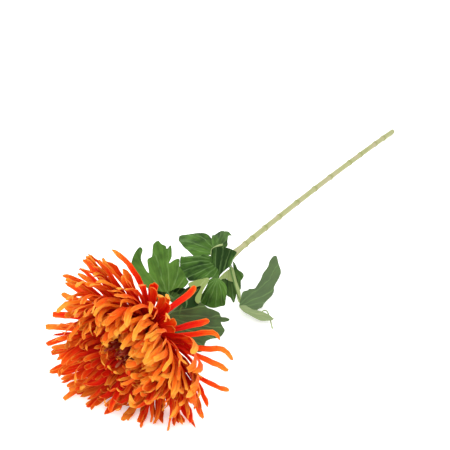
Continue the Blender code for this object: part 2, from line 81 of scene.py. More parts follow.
print("middle of the core", tuple(round(value, 4) for value in CORE))

# %% [markdown]
# ## Camera
# The photo looks down on the flower from the side of its bloom, through a long lens, so that the stem runs
# away to the upper right. A camera could be aimed with a constraint. Its own three axes are worked out from
# the two viewing angles instead, which leaves nothing to solve.

# %% Set the camera
VIEW_AZIMUTH = math.radians(-60)
VIEW_ELEVATION = math.radians(34)
VIEW_DISTANCE = 2.2
VIEW_TARGET = FOOT + Vector((0.253, 0.053, 0.03))
LENS = 162

back = Vector((math.sin(VIEW_AZIMUTH) * math.cos(VIEW_ELEVATION),
               -math.cos(VIEW_AZIMUTH) * math.cos(VIEW_ELEVATION),
               math.sin(VIEW_ELEVATION)))
right = Vector((math.cos(VIEW_AZIMUTH), math.sin(VIEW_AZIMUTH), 0))
lens = bpy.data.cameras.new("camera")
lens.lens = LENS
camera = bpy.data.objects.new("camera", lens)
bpy.context.scene.collection.objects.link(camera)
camera.matrix_world = Matrix((right, back.cross(right), back)).transposed().to_4x4()
camera.matrix_world.translation = VIEW_TARGET + back * VIEW_DISTANCE
bpy.context.scene.camera = camera
print("camera", tuple(round(value, 3) for value in camera.matrix_world.translation))

# %% [markdown]
# ## Colours and nodes
# Colours are written as the hex values that a screen shows, and one function turns them to the linear values
# that a shader reads. Materials are built from nodes. One function adds a node with its settings, and another
# wires its inputs, so that a material reads as a list of what it is made of.

# %% Helpers for materials
# The sockets of a Mix node that mixes colours
MIX_FACTOR, MIX_A, MIX_B, MIX_COLOUR = 0, 6, 7, 2


def linear(code):
    """The linear colour of a hex code, by the curve that the sRGB standard gives."""
    shares = [int(code[place:place + 2], 16) / 255 for place in (1, 3, 5)]
    return (*(share / 12.92 if share <= 0.04045 else ((share + 0.055) / 1.055) ** 2.4 for share in shares), 1)


def wire(tree, node, inputs):
    """Set a node's inputs: each takes a plain value, an output, or a node whose first output is meant."""
    for name, value in inputs.items():
        if isinstance(value, bpy.types.Node):
            value = value.outputs[0]
        if isinstance(value, bpy.types.NodeSocket):
            tree.links.new(value, node.inputs[name])
        else:
            node.inputs[name].default_value = value


def add(tree, kind, inputs=None, stops=(), **settings):
    """Add a node with its settings and its inputs, and with the stops of its colour ramp."""
    made = tree.nodes.new("ShaderNode" + kind)
    for name, value in settings.items():
        setattr(made, name, value)
    wire(tree, made, inputs or {})
    for place, code in stops[2:]:
        made.color_ramp.elements.new(place)
    for element, (place, code) in zip(made.color_ramp.elements if stops else (), stops):
        element.position = place
        element.color = linear(code)
    return made


def new_material(name, roughness, specular):
    """A material with its node tree and its Principled shader, whose plain values are set on its sockets."""
    material = bpy.data.materials.new(name)
    material.use_nodes = True
    tree = material.node_tree
    shader = tree.nodes["Principled BSDF"]
    wire(tree, shader, {"Roughness": roughness, "Specular IOR Level": specular})
    return material, tree, shader


print("a middle grey is", round(linear("#808080")[0], 3), "of white")

# %% [markdown]
# ## Petal cloth
# The petals are polyester satin, cut out in straps and dyed by hand. Their inner side is red and turns orange
# towards the tip, and their back is orange and turns golden, so the inner sides seen in the hollow are red
# and the tips that fold over are golden. Low on the far side of the hollow a lower tone paints its shade in
# deeper red, and the cut edges carry a painted highlight. The heated mould leaves fine ribs along them. An
# image could hold all this, but the pattern follows each petal's own UV map here, across and along the strap,
# and a number on each petal, its tone, says how far its dye runs.

# %% The two materials of the petals
MILLIMETRE = 0.001
CLOTH_SPECULAR = 0.15
PETAL_ROUGHNESS = 0.65
# The ribs across a petal, and how much finer their pattern is, which sets them half a millimetre apart; how
# strong and deep they are pressed; and how far the pattern moves on from one tone to the next
PETAL_RIBS = 9
RIB_SCALE = 1.6
RIB_BUMP = 0.8
RIB_DEPTH = 0.8 * MILLIMETRE
OWN_PATTERN = 40.0
# The dye's streaks are much broader than the ribs and a little longer
STREAK_SCALE = (0.28, 1.3, 1.0)
# How far the dye has run: what the place along the petal and its tone add to the streaks, and the run's ends
DYE_ALONG = 1.5
DYE_TONE = 0.65
DYE_START = 0.85
DYE_END = 2.4
# A painted highlight makes the cut edges paler on the outer half of a petal: from where across, how much,
# from where along, and between which tones
EDGE_HIGHLIGHT_START = 0.34
EDGE_HIGHLIGHT_STRENGTH = 0.6
EDGE_HIGHLIGHT_ALONG = 0.5
EDGE_HIGHLIGHT_TONES = (-0.6, 0.3)
# Light passes through the thin cloth, red furthest
GLOW = 0.4
GLOW_RADII = (1.0, 0.25, 0.05)
GLOW_DEPTH = 1.2 * MILLIMETRE


def petal_cloth(name, dyes, edge_highlight_colour):
    """Dyed polyester satin: matt, a dye that runs along each petal, painted highlights on cut edges, pressed
    ribs.
    """
    material, tree, shader = new_material(name, PETAL_ROUGHNESS, CLOTH_SPECULAR)
    place = add(tree, "SeparateXYZ", {0: add(tree, "UVMap", uv_map="UVMap")})
    across, along = place.outputs[0], place.outputs[1]
    tone = add(tree, "Attribute", attribute_name="tone").outputs["Fac"]
    fan = add(tree, "Math", {0: across, 1: PETAL_RIBS}, operation="MULTIPLY")
    own = add(tree, "Math", {0: tone, 1: OWN_PATTERN}, operation="MULTIPLY")
    grain = add(tree, "CombineXYZ", {0: fan, 1: along, 2: own})
    ribs = add(tree, "TexNoise", {"Vector": grain, "Scale": RIB_SCALE, "Detail": 2.0})
    broad = add(tree, "Mapping", {"Vector": grain, "Scale": STREAK_SCALE})
    streaks = add(tree, "TexNoise", {"Vector": broad, "Scale": 1.0, "Detail": 2.0})
    run = add(tree, "Math", {0: along, 1: DYE_ALONG, 2: streaks}, operation="MULTIPLY_ADD")
    run = add(tree, "Math", {0: tone, 1: DYE_TONE, 2: run}, operation="MULTIPLY_ADD")
    run = add(tree, "MapRange", {"Value": run, "From Min": DYE_START, "From Max": DYE_END})
    dye = add(tree, "ValToRGB", {0: run}, stops=dyes)
    # Painted highlight: towards the cut edges of the outer half the colour is mixed paler, less on red petals
    aside = add(tree, "Math", {0: across, 1: 0.5}, operation="SUBTRACT")
    aside = add(tree, "Math", {0: aside}, operation="ABSOLUTE")
    edge = add(tree, "MapRange", {"Value": aside, "From Min": EDGE_HIGHLIGHT_START, "From Max": 0.5,
                                  "To Max": EDGE_HIGHLIGHT_STRENGTH})
    late_highlight = add(tree, "MapRange", {"Value": along, "From Min": EDGE_HIGHLIGHT_ALONG})
    late_highlight = add(tree, "MapRange", {"Value": tone, "From Min": EDGE_HIGHLIGHT_TONES[0], "From Max": EDGE_HIGHLIGHT_TONES[1],
                                  "To Max": late_highlight})
    edge = add(tree, "Math", {0: edge, 1: late_highlight}, operation="MULTIPLY")
    colour = add(tree, "Mix", {MIX_FACTOR: edge, MIX_A: dye, MIX_B: linear(edge_highlight_colour)}, data_type="RGBA")
    pressed = add(tree, "Bump", {"Height": ribs, "Strength": RIB_BUMP, "Distance": RIB_DEPTH})
    wire(tree, shader, {"Base Color": colour.outputs[MIX_COLOUR], "Normal": pressed,
                        "Subsurface Weight": GLOW, "Subsurface Radius": GLOW_RADII,
                        "Subsurface Scale": GLOW_DEPTH})
    return material


# The last colour of each material is the painted highlight on the cut edges
petal_inside = petal_cloth("dyed petal cloth with painted light, inner side", (
    (0.0, "#B40300"), (0.34, "#D01200"), (0.58, "#DF3204"), (0.80, "#E65E0E"), (1.0, "#EC8E2A")), "#EE9A44")
petal_back = petal_cloth("dyed petal cloth with painted light, back", (
    (0.0, "#DA2600"), (0.34, "#E24404"), (0.62, "#E65E0C"), (0.86, "#E87816"), (1.0, "#EC9A30")), "#EEA64E")
print("materials", petal_inside.name, "and", petal_back.name)

# %% [markdown]
# ## One petal pattern
# A petal is a strap of cloth with a narrow root and a round, blunt or pointed end. It could be drawn corner
# by corner. It is a grid here, one wide and one long, whose rows are narrowed to the outline, because the
# grid brings a UV map that the dye can follow, and it has enough rows to bend later. Operators work on what
# is selected, so three helpers clear the selection, pick corners or edges in edit mode, and name what was
# made.

# %% Helpers for operators


def clear_selection():
    """Leave edit mode and select nothing, so that an operator meets only what it is given."""
    if bpy.context.object and bpy.context.object.mode != "OBJECT":
        bpy.ops.object.mode_set(mode="OBJECT")
    bpy.ops.object.select_all(action="DESELECT")


def pick(thing, kind, test):
    """Enter edit mode with those corners (VERT) or edges (EDGE) selected that pass a test."""
    bpy.ops.object.mode_set(mode="EDIT")
    bpy.ops.mesh.select_mode(type=kind)
    bpy.ops.mesh.select_all(action="DESELECT")
    bpy.ops.object.mode_set(mode="OBJECT")
    for part in thing.data.vertices if kind == "VERT" else thing.data.edges:
        part.select = test(part)
    bpy.ops.object.mode_set(mode="EDIT")


def named(name):
    """The object that an operator has just made, with its name on it and on its mesh."""
    made = bpy.context.object
    made.name = name
    made.data.name = name
    return made


clear_selection()
print("selected", len(bpy.context.selected_objects))

# %% Cut the petal patterns
PETAL_COLUMNS = 4
# The widths of a strap's rows from its root, and of the last two rows for each kind of end
STRAP_WIDTHS = (0.30, 0.44, 0.58, 0.70, 0.80, 0.88, 0.94, 0.98, 1.0, 1.0, 0.94)
PETAL_ENDS = {"round": (0.78, 0.34), "blunt": (0.90, 0.66), "pointed": (0.58, 0.10)}
# A corner belongs to a row when it is nearer to it than this share of the rows' distance
ROW_SLACK = 0.1


def cut_strap(name, widths, columns):
    """A flat strap, one wide and one long, whose rows have the given widths."""
    clear_selection()
    rows = len(widths) - 1
    bpy.ops.mesh.primitive_grid_add(x_subdivisions=columns, y_subdivisions=rows, size=1, location=(0, 0.5, 0))
    strap = named(name)
    bpy.ops.object.transform_apply(location=True)
    for row, width in enumerate(widths):
        pick(strap, "VERT", lambda corner: abs(corner.co.y * rows - row) < ROW_SLACK)
        bpy.ops.transform.resize(value=(width, 1, 1))
    clear_selection()
    strap.hide_render = True
    return strap


petal_patterns = [cut_strap(f"petal_{end}", (*STRAP_WIDTHS, *widths), PETAL_COLUMNS)
                  for end, widths in PETAL_ENDS.items()]
print("petal patterns", [(strap.name, len(strap.data.polygons)) for strap in petal_patterns])

# %% [markdown]
# ## How a petal grows
# Every petal starts on the round core inside the bloom and bends towards the middle as it grows, which makes
# the bloom incurved. Where it would meet the table it levels out above it. The solids of the bloom follow
# these lines, so the cloth petals follow the same ones, from the same seeded draws.

# %% Walk along a petal
# The bloom faces along -X and looks up a little
FACE_TILT = math.radians(4)
CORE_RADIUS = 0.0150
CORE_HALF_DEPTH = 0.0115
ROOT_SUNK = 0.0018
WALK_STEPS = 24
# Below this height a petal levels out, until it is this clear of the table
FLOOR_EASE = 0.012
FLOOR_CLEAR = 0.0005
# Above 1 a petal bends more towards its tip, and it hooks and drops from this share of its length on
BEND_POWER = 1.3
HOOK_SHARE = 0.78

FACE = Vector((-math.cos(FACE_TILT), 0, math.sin(FACE_TILT)))
SIDE = Vector((0, 1, 0))
RISE = SIDE.cross(FACE)


def around(azimuth):
    """The direction away from the bloom's axis; 0 is up and a quarter turn is +Y."""
    return RISE * math.cos(azimuth) + SIDE * math.sin(azimuth)


def towards(azimuth, middle, narrowness):
    """How much an azimuth belongs to one side of the bloom: 1 at its middle, 0 from a quarter turn away."""
    return max(0, math.cos(azimuth - middle)) ** narrowness


def square_to(heading, side):
    """A direction, leant over until it is square to a heading."""
    return (side - heading * side.dot(heading)).normalized()


def petal_walk(azimuth, seat, launch, bend, length, sway, twist, hook, drop=0.0):
    """Centreline, inner side and across of a petal, from root to tip, which may hook in and drop sideways."""
    outward = around(azimuth)
    across = outward.cross(FACE)
    normal = FACE * math.cos(launch) - outward * math.sin(launch)
    heading = outward * math.cos(launch) + FACE * math.sin(launch)
    point = (CORE + FACE * (CORE_HALF_DEPTH * math.cos(seat)) + outward * (CORE_RADIUS * math.sin(seat))
             - heading * ROOT_SUNK)
    stride = (length + ROOT_SUNK) / WALK_STEPS
    walk = []
    for step in range(WALK_STEPS + 1):
        share = step / WALK_STEPS
        hooked = max(0, (share - HOOK_SHARE) / (1 - HOOK_SHARE))
        angle = launch + bend * share ** BEND_POWER + hook * hooked
        heading = outward * math.cos(angle) + FACE * math.sin(angle) + across * (sway * share + drop * hooked)
        heading.normalize()
        fall = min(1.0, (point.z - FLOOR_CLEAR) / FLOOR_EASE)
        if heading.z < -fall:
            level = Vector((heading.x, heading.y, 0)).normalized()
            heading = level * math.sqrt(1 - fall * fall) - Vector((0, 0, fall))
        normal = square_to(heading, normal)
        side = heading.cross(normal)
        turn = twist * share
        turned = normal * math.cos(turn) + side * math.sin(turn)
        walk.append((point.copy(), turned, heading.cross(turned)))
        point = point + heading * stride
    return walk


def walk_at(walk, share):
    """The walk's point, inner side and across at any share of its length."""
    spot = min(share, 1) * (len(walk) - 1)
    low = min(int(spot), len(walk) - 2)
    return [a.lerp(b, spot - low) for a, b in zip(walk[low], walk[low + 1])]


print("the bloom faces", tuple(round(value, 3) for value in FACE))

# %% List the rings and the loose petals
PETAL_SEED = 11
# Each ring: how many petals, their seat, launch and bend (degrees), their length and width (m)
RINGS = (
    (27, 108, 2, 34, 0.083, 0.0064),
    (31, 97, 8, 62, 0.088, 0.0068),
    (34, 86, 16, 82, 0.086, 0.0072),
    (36, 75, 26, 90, 0.080, 0.0074),
    (30, 63, 38, 92, 0.062, 0.0074),
    (22, 50, 48, 86, 0.040, 0.0068),
)
# The near upper side is combed inwards, by these degrees in each ring, and the petals underneath are pressed
# shorter, by this share
COMBED_AZIMUTH = math.radians(302)
COMBED_LEAN = (24, 16, 8, 3, 0, 0)
PRESSED_AZIMUTH = math.radians(190)
PRESSED_SHARE = 0.10
SIDE_NARROWNESS = 2
# How different petals are: places round the ring (steps), launch and bend (degrees), length and width
# (shares), sideways sway, twist and hook (degrees)
AZIMUTH_SPREAD = 0.22
LAUNCH_SPREAD = 6
BEND_SPREAD = 14
LENGTH_SPREAD = 0.06
WIDTH_SPREAD = 0.1
SWAY_SPREAD = 0.22
TWIST_SPREAD = 35
HOOKS = (0, 0, 15, 40)
# The loose petals: azimuth, launch, bend (degrees), length (m), sideways sway, hook (degrees), how far the
# tip drops sideways, and tone. Some tips lie nearer to the photo's than those of the solids do.
STRAYS = (
    (326, -58, 12, 0.060, 0.00, 30, -0.2, 0.7),
    (290, -40, 8, 0.054, 0.00, 10, 0.0, 0.6),
    (282, -28, 6, 0.066, 0.00, 70, 1.9, 1.0),
    (271, -16, 4, 0.080, -0.10, 60, 1.9, 0.8),
    (262, -12, 6, 0.078, -0.06, 15, 0.2, 1.1),
    (232, -8, 2, 0.086, -0.75, 15, -0.8, 1.0),
    (233, 4, 14, 0.086, 0.00, 10, 0.0, 0.5),
    (222, 6, 12, 0.094, 0.00, 15, 0.0, 0.5),
    (213, 8, 14, 0.090, 0.00, 15, 0.0, 0.5),
    (349, 2, 30, 0.097, -1.05, 20, -1.4, 0.8),
    (22, 4, 20, 0.090, -0.30, 30, 0.0, 0.9),
    (30, 8, 14, 0.080, 0.20, 10, 0.0, 0.7),
    (42, 8, 10, 0.079, 0.00, 30, 0.0, 0.8),
    (52, 12, 12, 0.078, -0.35, 15, 0.0, 0.6),
    (97, 14, 8, 0.087, 0.00, 12, 0.0, 0.6),
    (114, 12, 12, 0.088, 0.00, 20, 0.0, 0.6),
)
# Petals that stand alone are seated on the rim of the core, this far from its front (degrees)
RIM_SEAT = 99
STRAY_WIDTH = 0.0076
STRAY_TWIST = 20
print("rings", len(RINGS), "with", sum(ring[0] for ring in RINGS), "petals")

# %% The petals that the solids also have


def ring_petal(draw, index, azimuth, seat, launch, bend, length, width):
    """One petal of a ring, with its own small differences."""
    combed = COMBED_LEAN[index] * towards(azimuth, COMBED_AZIMUTH, SIDE_NARROWNESS)
    pressed = PRESSED_SHARE * towards(azimuth, PRESSED_AZIMUTH, SIDE_NARROWNESS)
    return (
        azimuth,
        math.radians(seat),
        math.radians(launch + combed + draw.uniform(-LAUNCH_SPREAD, LAUNCH_SPREAD)),
        math.radians(bend + draw.uniform(-BEND_SPREAD, BEND_SPREAD)),
        length * (1 - pressed) * (1 + draw.uniform(-LENGTH_SPREAD, LENGTH_SPREAD)),
        draw.uniform(-SWAY_SPREAD, SWAY_SPREAD),
        math.radians(draw.uniform(-TWIST_SPREAD, TWIST_SPREAD)),
        math.radians(draw.choice(HOOKS)),
        width * (1 + draw.uniform(-WIDTH_SPREAD, WIDTH_SPREAD)),
    )


def solid_petals():
    """The petals of the rings, in the same order of draws as in the solids, each with its ring."""
    draw = random.Random(PETAL_SEED)
    petals = []
    for index, (count, *shape) in enumerate(RINGS):
        for number in range(count):
            place = number + 0.5 * (index % 2) + draw.uniform(-AZIMUTH_SPREAD, AZIMUTH_SPREAD)
            petals.append((index, *ring_petal(draw, index, math.tau * place / count, *shape)))
    return petals


def placed_petal(tone, azimuth, seat, launch, bend, length, sway, twist, hook, *rest):
    """A petal whose angles are listed in degrees, with its tone."""
    turns = [math.radians(value) for value in (azimuth, seat, launch, bend)]
    return (tone, *turns, length, sway, math.radians(twist), math.radians(hook), *rest)


def loose_petals():
    """The loose petals, each with its tone, and with the sideways drop of its tip before its width."""
    draw = random.Random(PETAL_SEED)
    return [placed_petal(tone, azimuth, RIM_SEAT, launch, bend, length, sway,
                         draw.uniform(-STRAY_TWIST, STRAY_TWIST), hook, drop, STRAY_WIDTH)
            for azimuth, launch, bend, length, sway, hook, drop, tone in STRAYS]


print("petals in the rings", len(solid_petals()), "loose", len(loose_petals()))

# %% [markdown]
# ## More petals than the solids have
# A real bloom has several hundred petals, and the solids keep to those that give it its shape. The rest are
# added here, between the rings, with a seeded draw of their own: they close the gaps and crowd the hollow.

# %% The petals between the rings
FILL_SEED = 4
# How many there are for each petal of a ring, how much further in and more upright they grow (degrees), how
# long they are, and where they stand in their part of the ring
FILL_SHARES = (0.9, 1.2, 1.4, 1.4, 1.3, 1.0)
FILL_SEAT_STEP = -5
FILL_LAUNCH_STEP = 3
FILL_LENGTH = 0.94
FILL_PLACES = (0.1, 0.9)


def fill_petals():
    """Petals of the same kind as each ring's, scattered evenly round it and a little shorter."""
    draw = random.Random(FILL_SEED)
    petals = []
    for index, (count, seat, launch, bend, length, width) in enumerate(RINGS):
        more = round(count * FILL_SHARES[index])
        for number in range(more):
            azimuth = math.tau * (number + draw.uniform(*FILL_PLACES)) / more
            petals.append((index, *ring_petal(draw, index, azimuth, seat + FILL_SEAT_STEP,
                                              launch + FILL_LAUNCH_STEP, bend, length * FILL_LENGTH, width)))
    return petals


print("petals between the rings", len(fill_petals()))

# %% [markdown]
# ## Wilder cloth
# Cloth petals are wilder than solid straps: they twist, sway and hook, and on the far side they stand open,
# so that the hollow is seen. Each could be bent by hand. Rules for the whole bloom and seeded draws change
# the list of petals here, and only those that stand out in the photo are listed one by one. The loose petals
# keep near their solids.

# %% Make the petals wilder
WILD_SEED = 8
OUTER_RINGS = 2
# The far side of the bloom stands open: its azimuth, and for each ring the share of the bend that is missing
# there, and how much shorter the petals are there and on the near side
OPEN_AZIMUTH = math.radians(143)
OPEN_SHARES = (0.0, 0.0, 0.10, 0.35, 0.40, 0.20)
FAR_SHORTER = (0.0, 0.0, 0.0, 0.08, 0.36, 0.15)
NEAR_SHORTER = (0.0, 0.0, 0.0, 0.08, 0.18, 0.30)
# On the near side the petals are turned over, to the left above and to the right below
TURNED_OVER = [math.radians(value) for value in (40, 50, 50, 35, 20, 0)]
# How long the petals of the outer rings are, from azimuth to azimuth (degrees)
OUTLINE = ((0, 1.0), (40, 1.0), (55, 0.92), (66, 0.82), (86, 0.82), (97, 0.95), (112, 1.0), (125, 1.05),
           (158, 1.08), (175, 1.0), (250, 1.0), (290, 0.95), (360, 1.0))
# Left of the heart the inner rings leave a bare place
BARE_AZIMUTH = math.radians(75)
BARE_NARROWNESS = 4
BARE_SHORTER = (0.0, 0.0, 0.0, 0.0, 0.25, 0.60)
# How far the yellow end of the dye reaches in each ring, and how much lower the tone is set low on the far
# side, where a deeper red dye paints the shade of the hollow
RING_TONES = (0.75, 0.75, 0.75, 0.70, 0.65, 0.70)
SHADED_HOLLOW_AZIMUTH = math.radians(164)
SHADED_HOLLOW_NARROWNESS = 8
HOLLOW_SHADE_TONES = (0.0, 0.0, 0.1, 0.8, 1.4, 0.6)
# How wild the cloth is: sideways sway, twist, and the shares of the length and the width that are drawn
WILD_SWAY = 0.38
WILD_TWIST = math.radians(45)
WILD_LENGTHS = (0.92, 1.05)
INNER_LENGTHS = (0.70, 1.08)
WILD_WIDTHS = (0.58, 0.98)
# The hooks that are drawn (degrees), those of the inner rings from this share of the far side on, and those
# of the innermost ring there
WILD_HOOKS = (-30, 0, 0, 25, 60)
FAR_SHARE = 0.4
FAR_HOOKS = (-20, 0, 40, 80, 120)
INNERMOST_HOOKS = (90, 120, 150)


def between(stations, at):
    """The value at a place between (place, value) stations."""
    for (low, first), (high, last) in zip(stations, stations[1:]):
        if at <= high:
            return first + (last - first) * (at - low) / (high - low)
    return stations[-1][1]


def wild_petals(petals, seed):
    """The same petals as cloth would have them, each with its tone."""
    draw = random.Random(seed)
    wild = []
    for index, azimuth, seat, launch, bend, length, sway, twist, hook, width in petals:
        outer = index < OUTER_RINGS
        opened = math.cos(azimuth - OPEN_AZIMUTH)
        far, near = max(0, opened), max(0, -opened)
        bend *= 1 - OPEN_SHARES[index] * far
        length *= 1 - FAR_SHORTER[index] * far - NEAR_SHORTER[index] * near
        if outer:
            length *= between(OUTLINE, math.degrees(azimuth) % 360)
        length *= 1 - BARE_SHORTER[index] * towards(azimuth, BARE_AZIMUTH, BARE_NARROWNESS)
        # Low on the far side the tone is lowered: painted shade of the hollow, in deeper red dye
        tone = RING_TONES[index] - HOLLOW_SHADE_TONES[index] * towards(azimuth, SHADED_HOLLOW_AZIMUTH, SHADED_HOLLOW_NARROWNESS)
        twist += TURNED_OVER[index] * math.sin(OPEN_AZIMUTH + math.pi - azimuth) * math.sqrt(near)
        sway += draw.uniform(-WILD_SWAY, WILD_SWAY)
        twist += draw.uniform(-WILD_TWIST, WILD_TWIST)
        length *= draw.uniform(*(WILD_LENGTHS if outer else INNER_LENGTHS))
        width *= draw.uniform(*WILD_WIDTHS)
        hooks = WILD_HOOKS
        if far > FAR_SHARE and not outer:
            hooks = INNERMOST_HOOKS if index == len(RINGS) - 1 else FAR_HOOKS
        hook += math.radians(draw.choice(hooks))
        wild.append((tone, azimuth, seat, launch, bend, length, sway, twist, hook, width))
    return wild


ring_petals = wild_petals(solid_petals(), WILD_SEED)
between_petals = wild_petals(fill_petals(), WILD_SEED + 1)
print("longest petal", round(max(petal[5] for petal in ring_petals + between_petals), 4))

# %% List the petals that stand out
# Each petal: azimuth, launch, bend (degrees), length (m), sideways sway, twist, hook (degrees), width (m) and
# tone. The first list stands on the rim of the core.
ON_THE_RIM = (
    (290, -10, 90, 0.085, 0.00, 40, 20, 0.0072, 0.5),
    (283, -6, 95, 0.090, 0.10, 20, 20, 0.0078, 0.5),
    (275, -8, 90, 0.088, -0.10, 50, 30, 0.0072, 0.7),
    (268, -8, 95, 0.090, 0.10, 25, 20, 0.0074, 0.3),
    (262, -5, 100, 0.095, 0.00, 45, 20, 0.0078, 0.6),
    (256, -10, 85, 0.082, 0.10, 30, 20, 0.0070, 0.7),
    (250, -8, 90, 0.088, -0.10, 50, 20, 0.0074, 0.4),
    (243, -5, 90, 0.085, 0.00, 30, 30, 0.0070, 0.6),
    (236, -2, 85, 0.088, 0.10, 50, 30, 0.0072, 0.4),
    (264, -2, 75, 0.088, 0.10, 20, 20, 0.0080, 0.3),
    (257, -2, 70, 0.090, -0.10, 0, 10, 0.0080, 0.5),
    (247, -2, 65, 0.088, 0.00, 20, 10, 0.0080, 0.2),
    (238, 0, 60, 0.088, 0.10, 10, 10, 0.0080, 0.4),
    (340, -12, 25, 0.048, 0.00, 30, 110, 0.0095, 0.5),
    (332, -20, 20, 0.046, 0.00, -20, 120, 0.0085, 0.8),
    (350, -15, 20, 0.052, 0.00, 20, 60, 0.0090, 0.3),
    (283, 0, 15, 0.050, 0.00, 0, 10, 0.0085, 0.9),
    (277, 0, 15, 0.052, 0.00, -20, 80, 0.0090, 0.3),
    (250, -6, 50, 0.088, 0.10, 0, 10, 0.0075, 0.5),
    (243, -4, 50, 0.086, 0.10, 20, 10, 0.0065, 0.4),
    (231, 2, 45, 0.088, 0.00, 0, 10, 0.0080, 0.3),
    (224, 2, 40, 0.080, 0.05, 0, 10, 0.0090, 0.1),
    (214, 2, 40, 0.086, -0.05, 0, 10, 0.0075, 0.3),
    (204, 4, 40, 0.084, 0.05, 0, 15, 0.0065, 0.3),
    (125, 8, 15, 0.095, 0.00, 0, 10, 0.0065, 0.5),
    (133, 6, 15, 0.097, -0.20, 0, 10, 0.0095, 0.8),
    (141, 8, 15, 0.094, -0.20, 0, 10, 0.0085, 0.5),
    (148, 8, 15, 0.095, -0.15, 0, 10, 0.0080, 0.3),
    (156, 8, 15, 0.092, -0.10, 0, 10, 0.0075, 0.3),
    (165, 8, 15, 0.094, -0.10, 0, 10, 0.0090, 0.5),
    (159, 9, 15, 0.090, 0.00, 0, 10, 0.0090, 0.8),
    (163, 10, 15, 0.086, 0.10, 0, 20, 0.0085, 0.6),
    (184, 8, 15, 0.089, 0.00, 10, 20, 0.0090, 0.5),
    (190, 8, 15, 0.086, 0.00, 0, 20, 0.0085, 0.6),
    (14, 0, 24, 0.078, -0.45, 0, 30, 0.0090, 0.9),
    (4, 0, 30, 0.070, -0.30, 10, 30, 0.0085, 0.9),
    (312, -24, 20, 0.028, 0.00, 10, 30, 0.0085, 0.3),
    (301, -16, 20, 0.026, 0.00, -10, 40, 0.0085, 0.4),
    (346, -5, 40, 0.060, 0.00, 10, 20, 0.0085, 0.4),
    (330, -10, 40, 0.048, 0.00, 10, 30, 0.0085, 0.5),
    (320, -5, 60, 0.050, 0.00, -10, 30, 0.0085, 0.6),
    (175, 8, 15, 0.090, 0.00, 0, 20, 0.0085, 0.7),
    (182, 8, 15, 0.088, -0.10, 10, 30, 0.0090, 0.4),
    (87, 8, 15, 0.081, 0.00, 0, 10, 0.0085, 0.7),
    (70, 8, 15, 0.076, 0.00, 0, 10, 0.0085, 0.9),
    (203, 8, 15, 0.084, 0.00, 0, 10, 0.0085, 0.6),
    (219, 8, 15, 0.084, 0.00, 0, 10, 0.0085, 0.6),
    (241, 2, 30, 0.081, 0.00, 0, 10, 0.0090, 0.6),
    (57, 8, 15, 0.085, 0.10, 0, 20, 0.0080, 0.6),
    (31, 8, 15, 0.088, 0.00, 0, 10, 0.0085, 0.5),
    (108, 10, 15, 0.075, -0.20, 0, 10, 0.0085, 0.9),
    (118, 12, 20, 0.080, 0.10, 0, 10, 0.0095, 0.8),
    (75, 12, 15, 0.070, 0.00, 0, 20, 0.0100, 0.8),
    (56, 10, 12, 0.080, 0.00, 0, 20, 0.0070, 0.9),
    (36, 10, 12, 0.086, 0.10, 0, 10, 0.0095, 0.7),
)
# The second list stands in the hollow, seated this far from the core's front (degrees)
HOLLOW_SEAT = 56
IN_THE_HOLLOW = (
    (128, 40, 50, 0.042, 0.00, 0, 110, 0.0085, 0.9),
    (148, 42, 50, 0.040, 0.00, 0, 120, 0.0085, 0.9),
    (172, 42, 50, 0.038, 0.00, 10, 110, 0.0080, 0.9),
    (196, 42, 50, 0.040, 0.00, -10, 90, 0.0080, 0.8),
)


def outstanding_petals():
    """The wide petals that stand out of the rings, each with its tone."""
    return [placed_petal(tone, azimuth, seat, launch, bend, length, sway, twist, hook, width)
            for seat, petals in ((RIM_SEAT, ON_THE_RIM), (HOLLOW_SEAT, IN_THE_HOLLOW))
            for azimuth, launch, bend, length, sway, twist, hook, width, tone in petals]


print("petals that stand out", len(outstanding_petals()))

# %% [markdown]
# ## Laying the cloth
# Each petal is a copy of a pattern with its own mesh, laid along its walk: curled across, so that its edges
# rise towards the bloom's middle, and rippled along, as crumpled cloth is. A simulation could drape them, but
# stiffened petals hold their moulded curl, so a formula gives it. Then all are joined, and one Solidify gives
# them the thickness of the cloth.

# %% Lay one strap
# Above 1 the rows of a strap lie closer towards its tip, where it bends most
TIP_CROWDING = 1.35
# The share of its curl across that a strap loses towards its tip
CURL_LOSS = 0.45
RIPPLE_HEIGHT = 0.0010
RIPPLE_LENGTH = 0.016
# Two ripples run over a strap, each with its share of the height, its pace along and its slant across
RIPPLES = ((0.6, 1.0, 0), (0.4, 1.7, 9))
# The folds along a strap are deepest half way, and past this share they stay as they are
FOLD_END = 0.85
WANDER_TURNS = 5.0


def stain(piece, **marks):
    """Write an attribute on each corner of a mesh: one value for all, or a list."""
    count = len(piece.data.vertices)
    for mark, value in marks.items():
        written = piece.data.attributes.new(mark, "FLOAT", "POINT")
        written.data.foreach_set("value", value if isinstance(value, list) else [value] * count)


def lay_strap(pattern, walk, length, width, curl, phase, tone=0.0, fold=0.0, wander=0.0):
    """A copy of a pattern, bent along a walk, curled and folded across it, and wandering to its sides."""
    strap = pattern.copy()
    strap.data = pattern.data.copy()
    strap.hide_render = False
    bpy.context.scene.collection.objects.link(strap)
    for vertex in strap.data.vertices:
        share = 1 - (1 - vertex.co.y) ** TIP_CROWDING
        point, inner, side = walk_at(walk, share)
        bow = curl * (1 - CURL_LOSS * share)
        angle = vertex.co.x * bow
        swing = math.tau * share * length / RIPPLE_LENGTH + phase
        ripple = RIPPLE_HEIGHT * share * sum(part * math.sin(swing * pace + slant * vertex.co.x)
                                             for part, pace, slant in RIPPLES)
        ripple += fold * math.cos(2 * math.tau * vertex.co.x) * math.sin(math.pi * min(share, FOLD_END))
        aside = wander * share * math.sin(WANDER_TURNS * share + phase)
        vertex.co = (point + side * (width / bow * math.sin(angle) + aside)
                     + inner * (width / bow * (1 - math.cos(angle)) + ripple))
        vertex.co.z = max(vertex.co.z, FLOOR_CLEAR)
    stain(strap, tone=tone)
    return strap


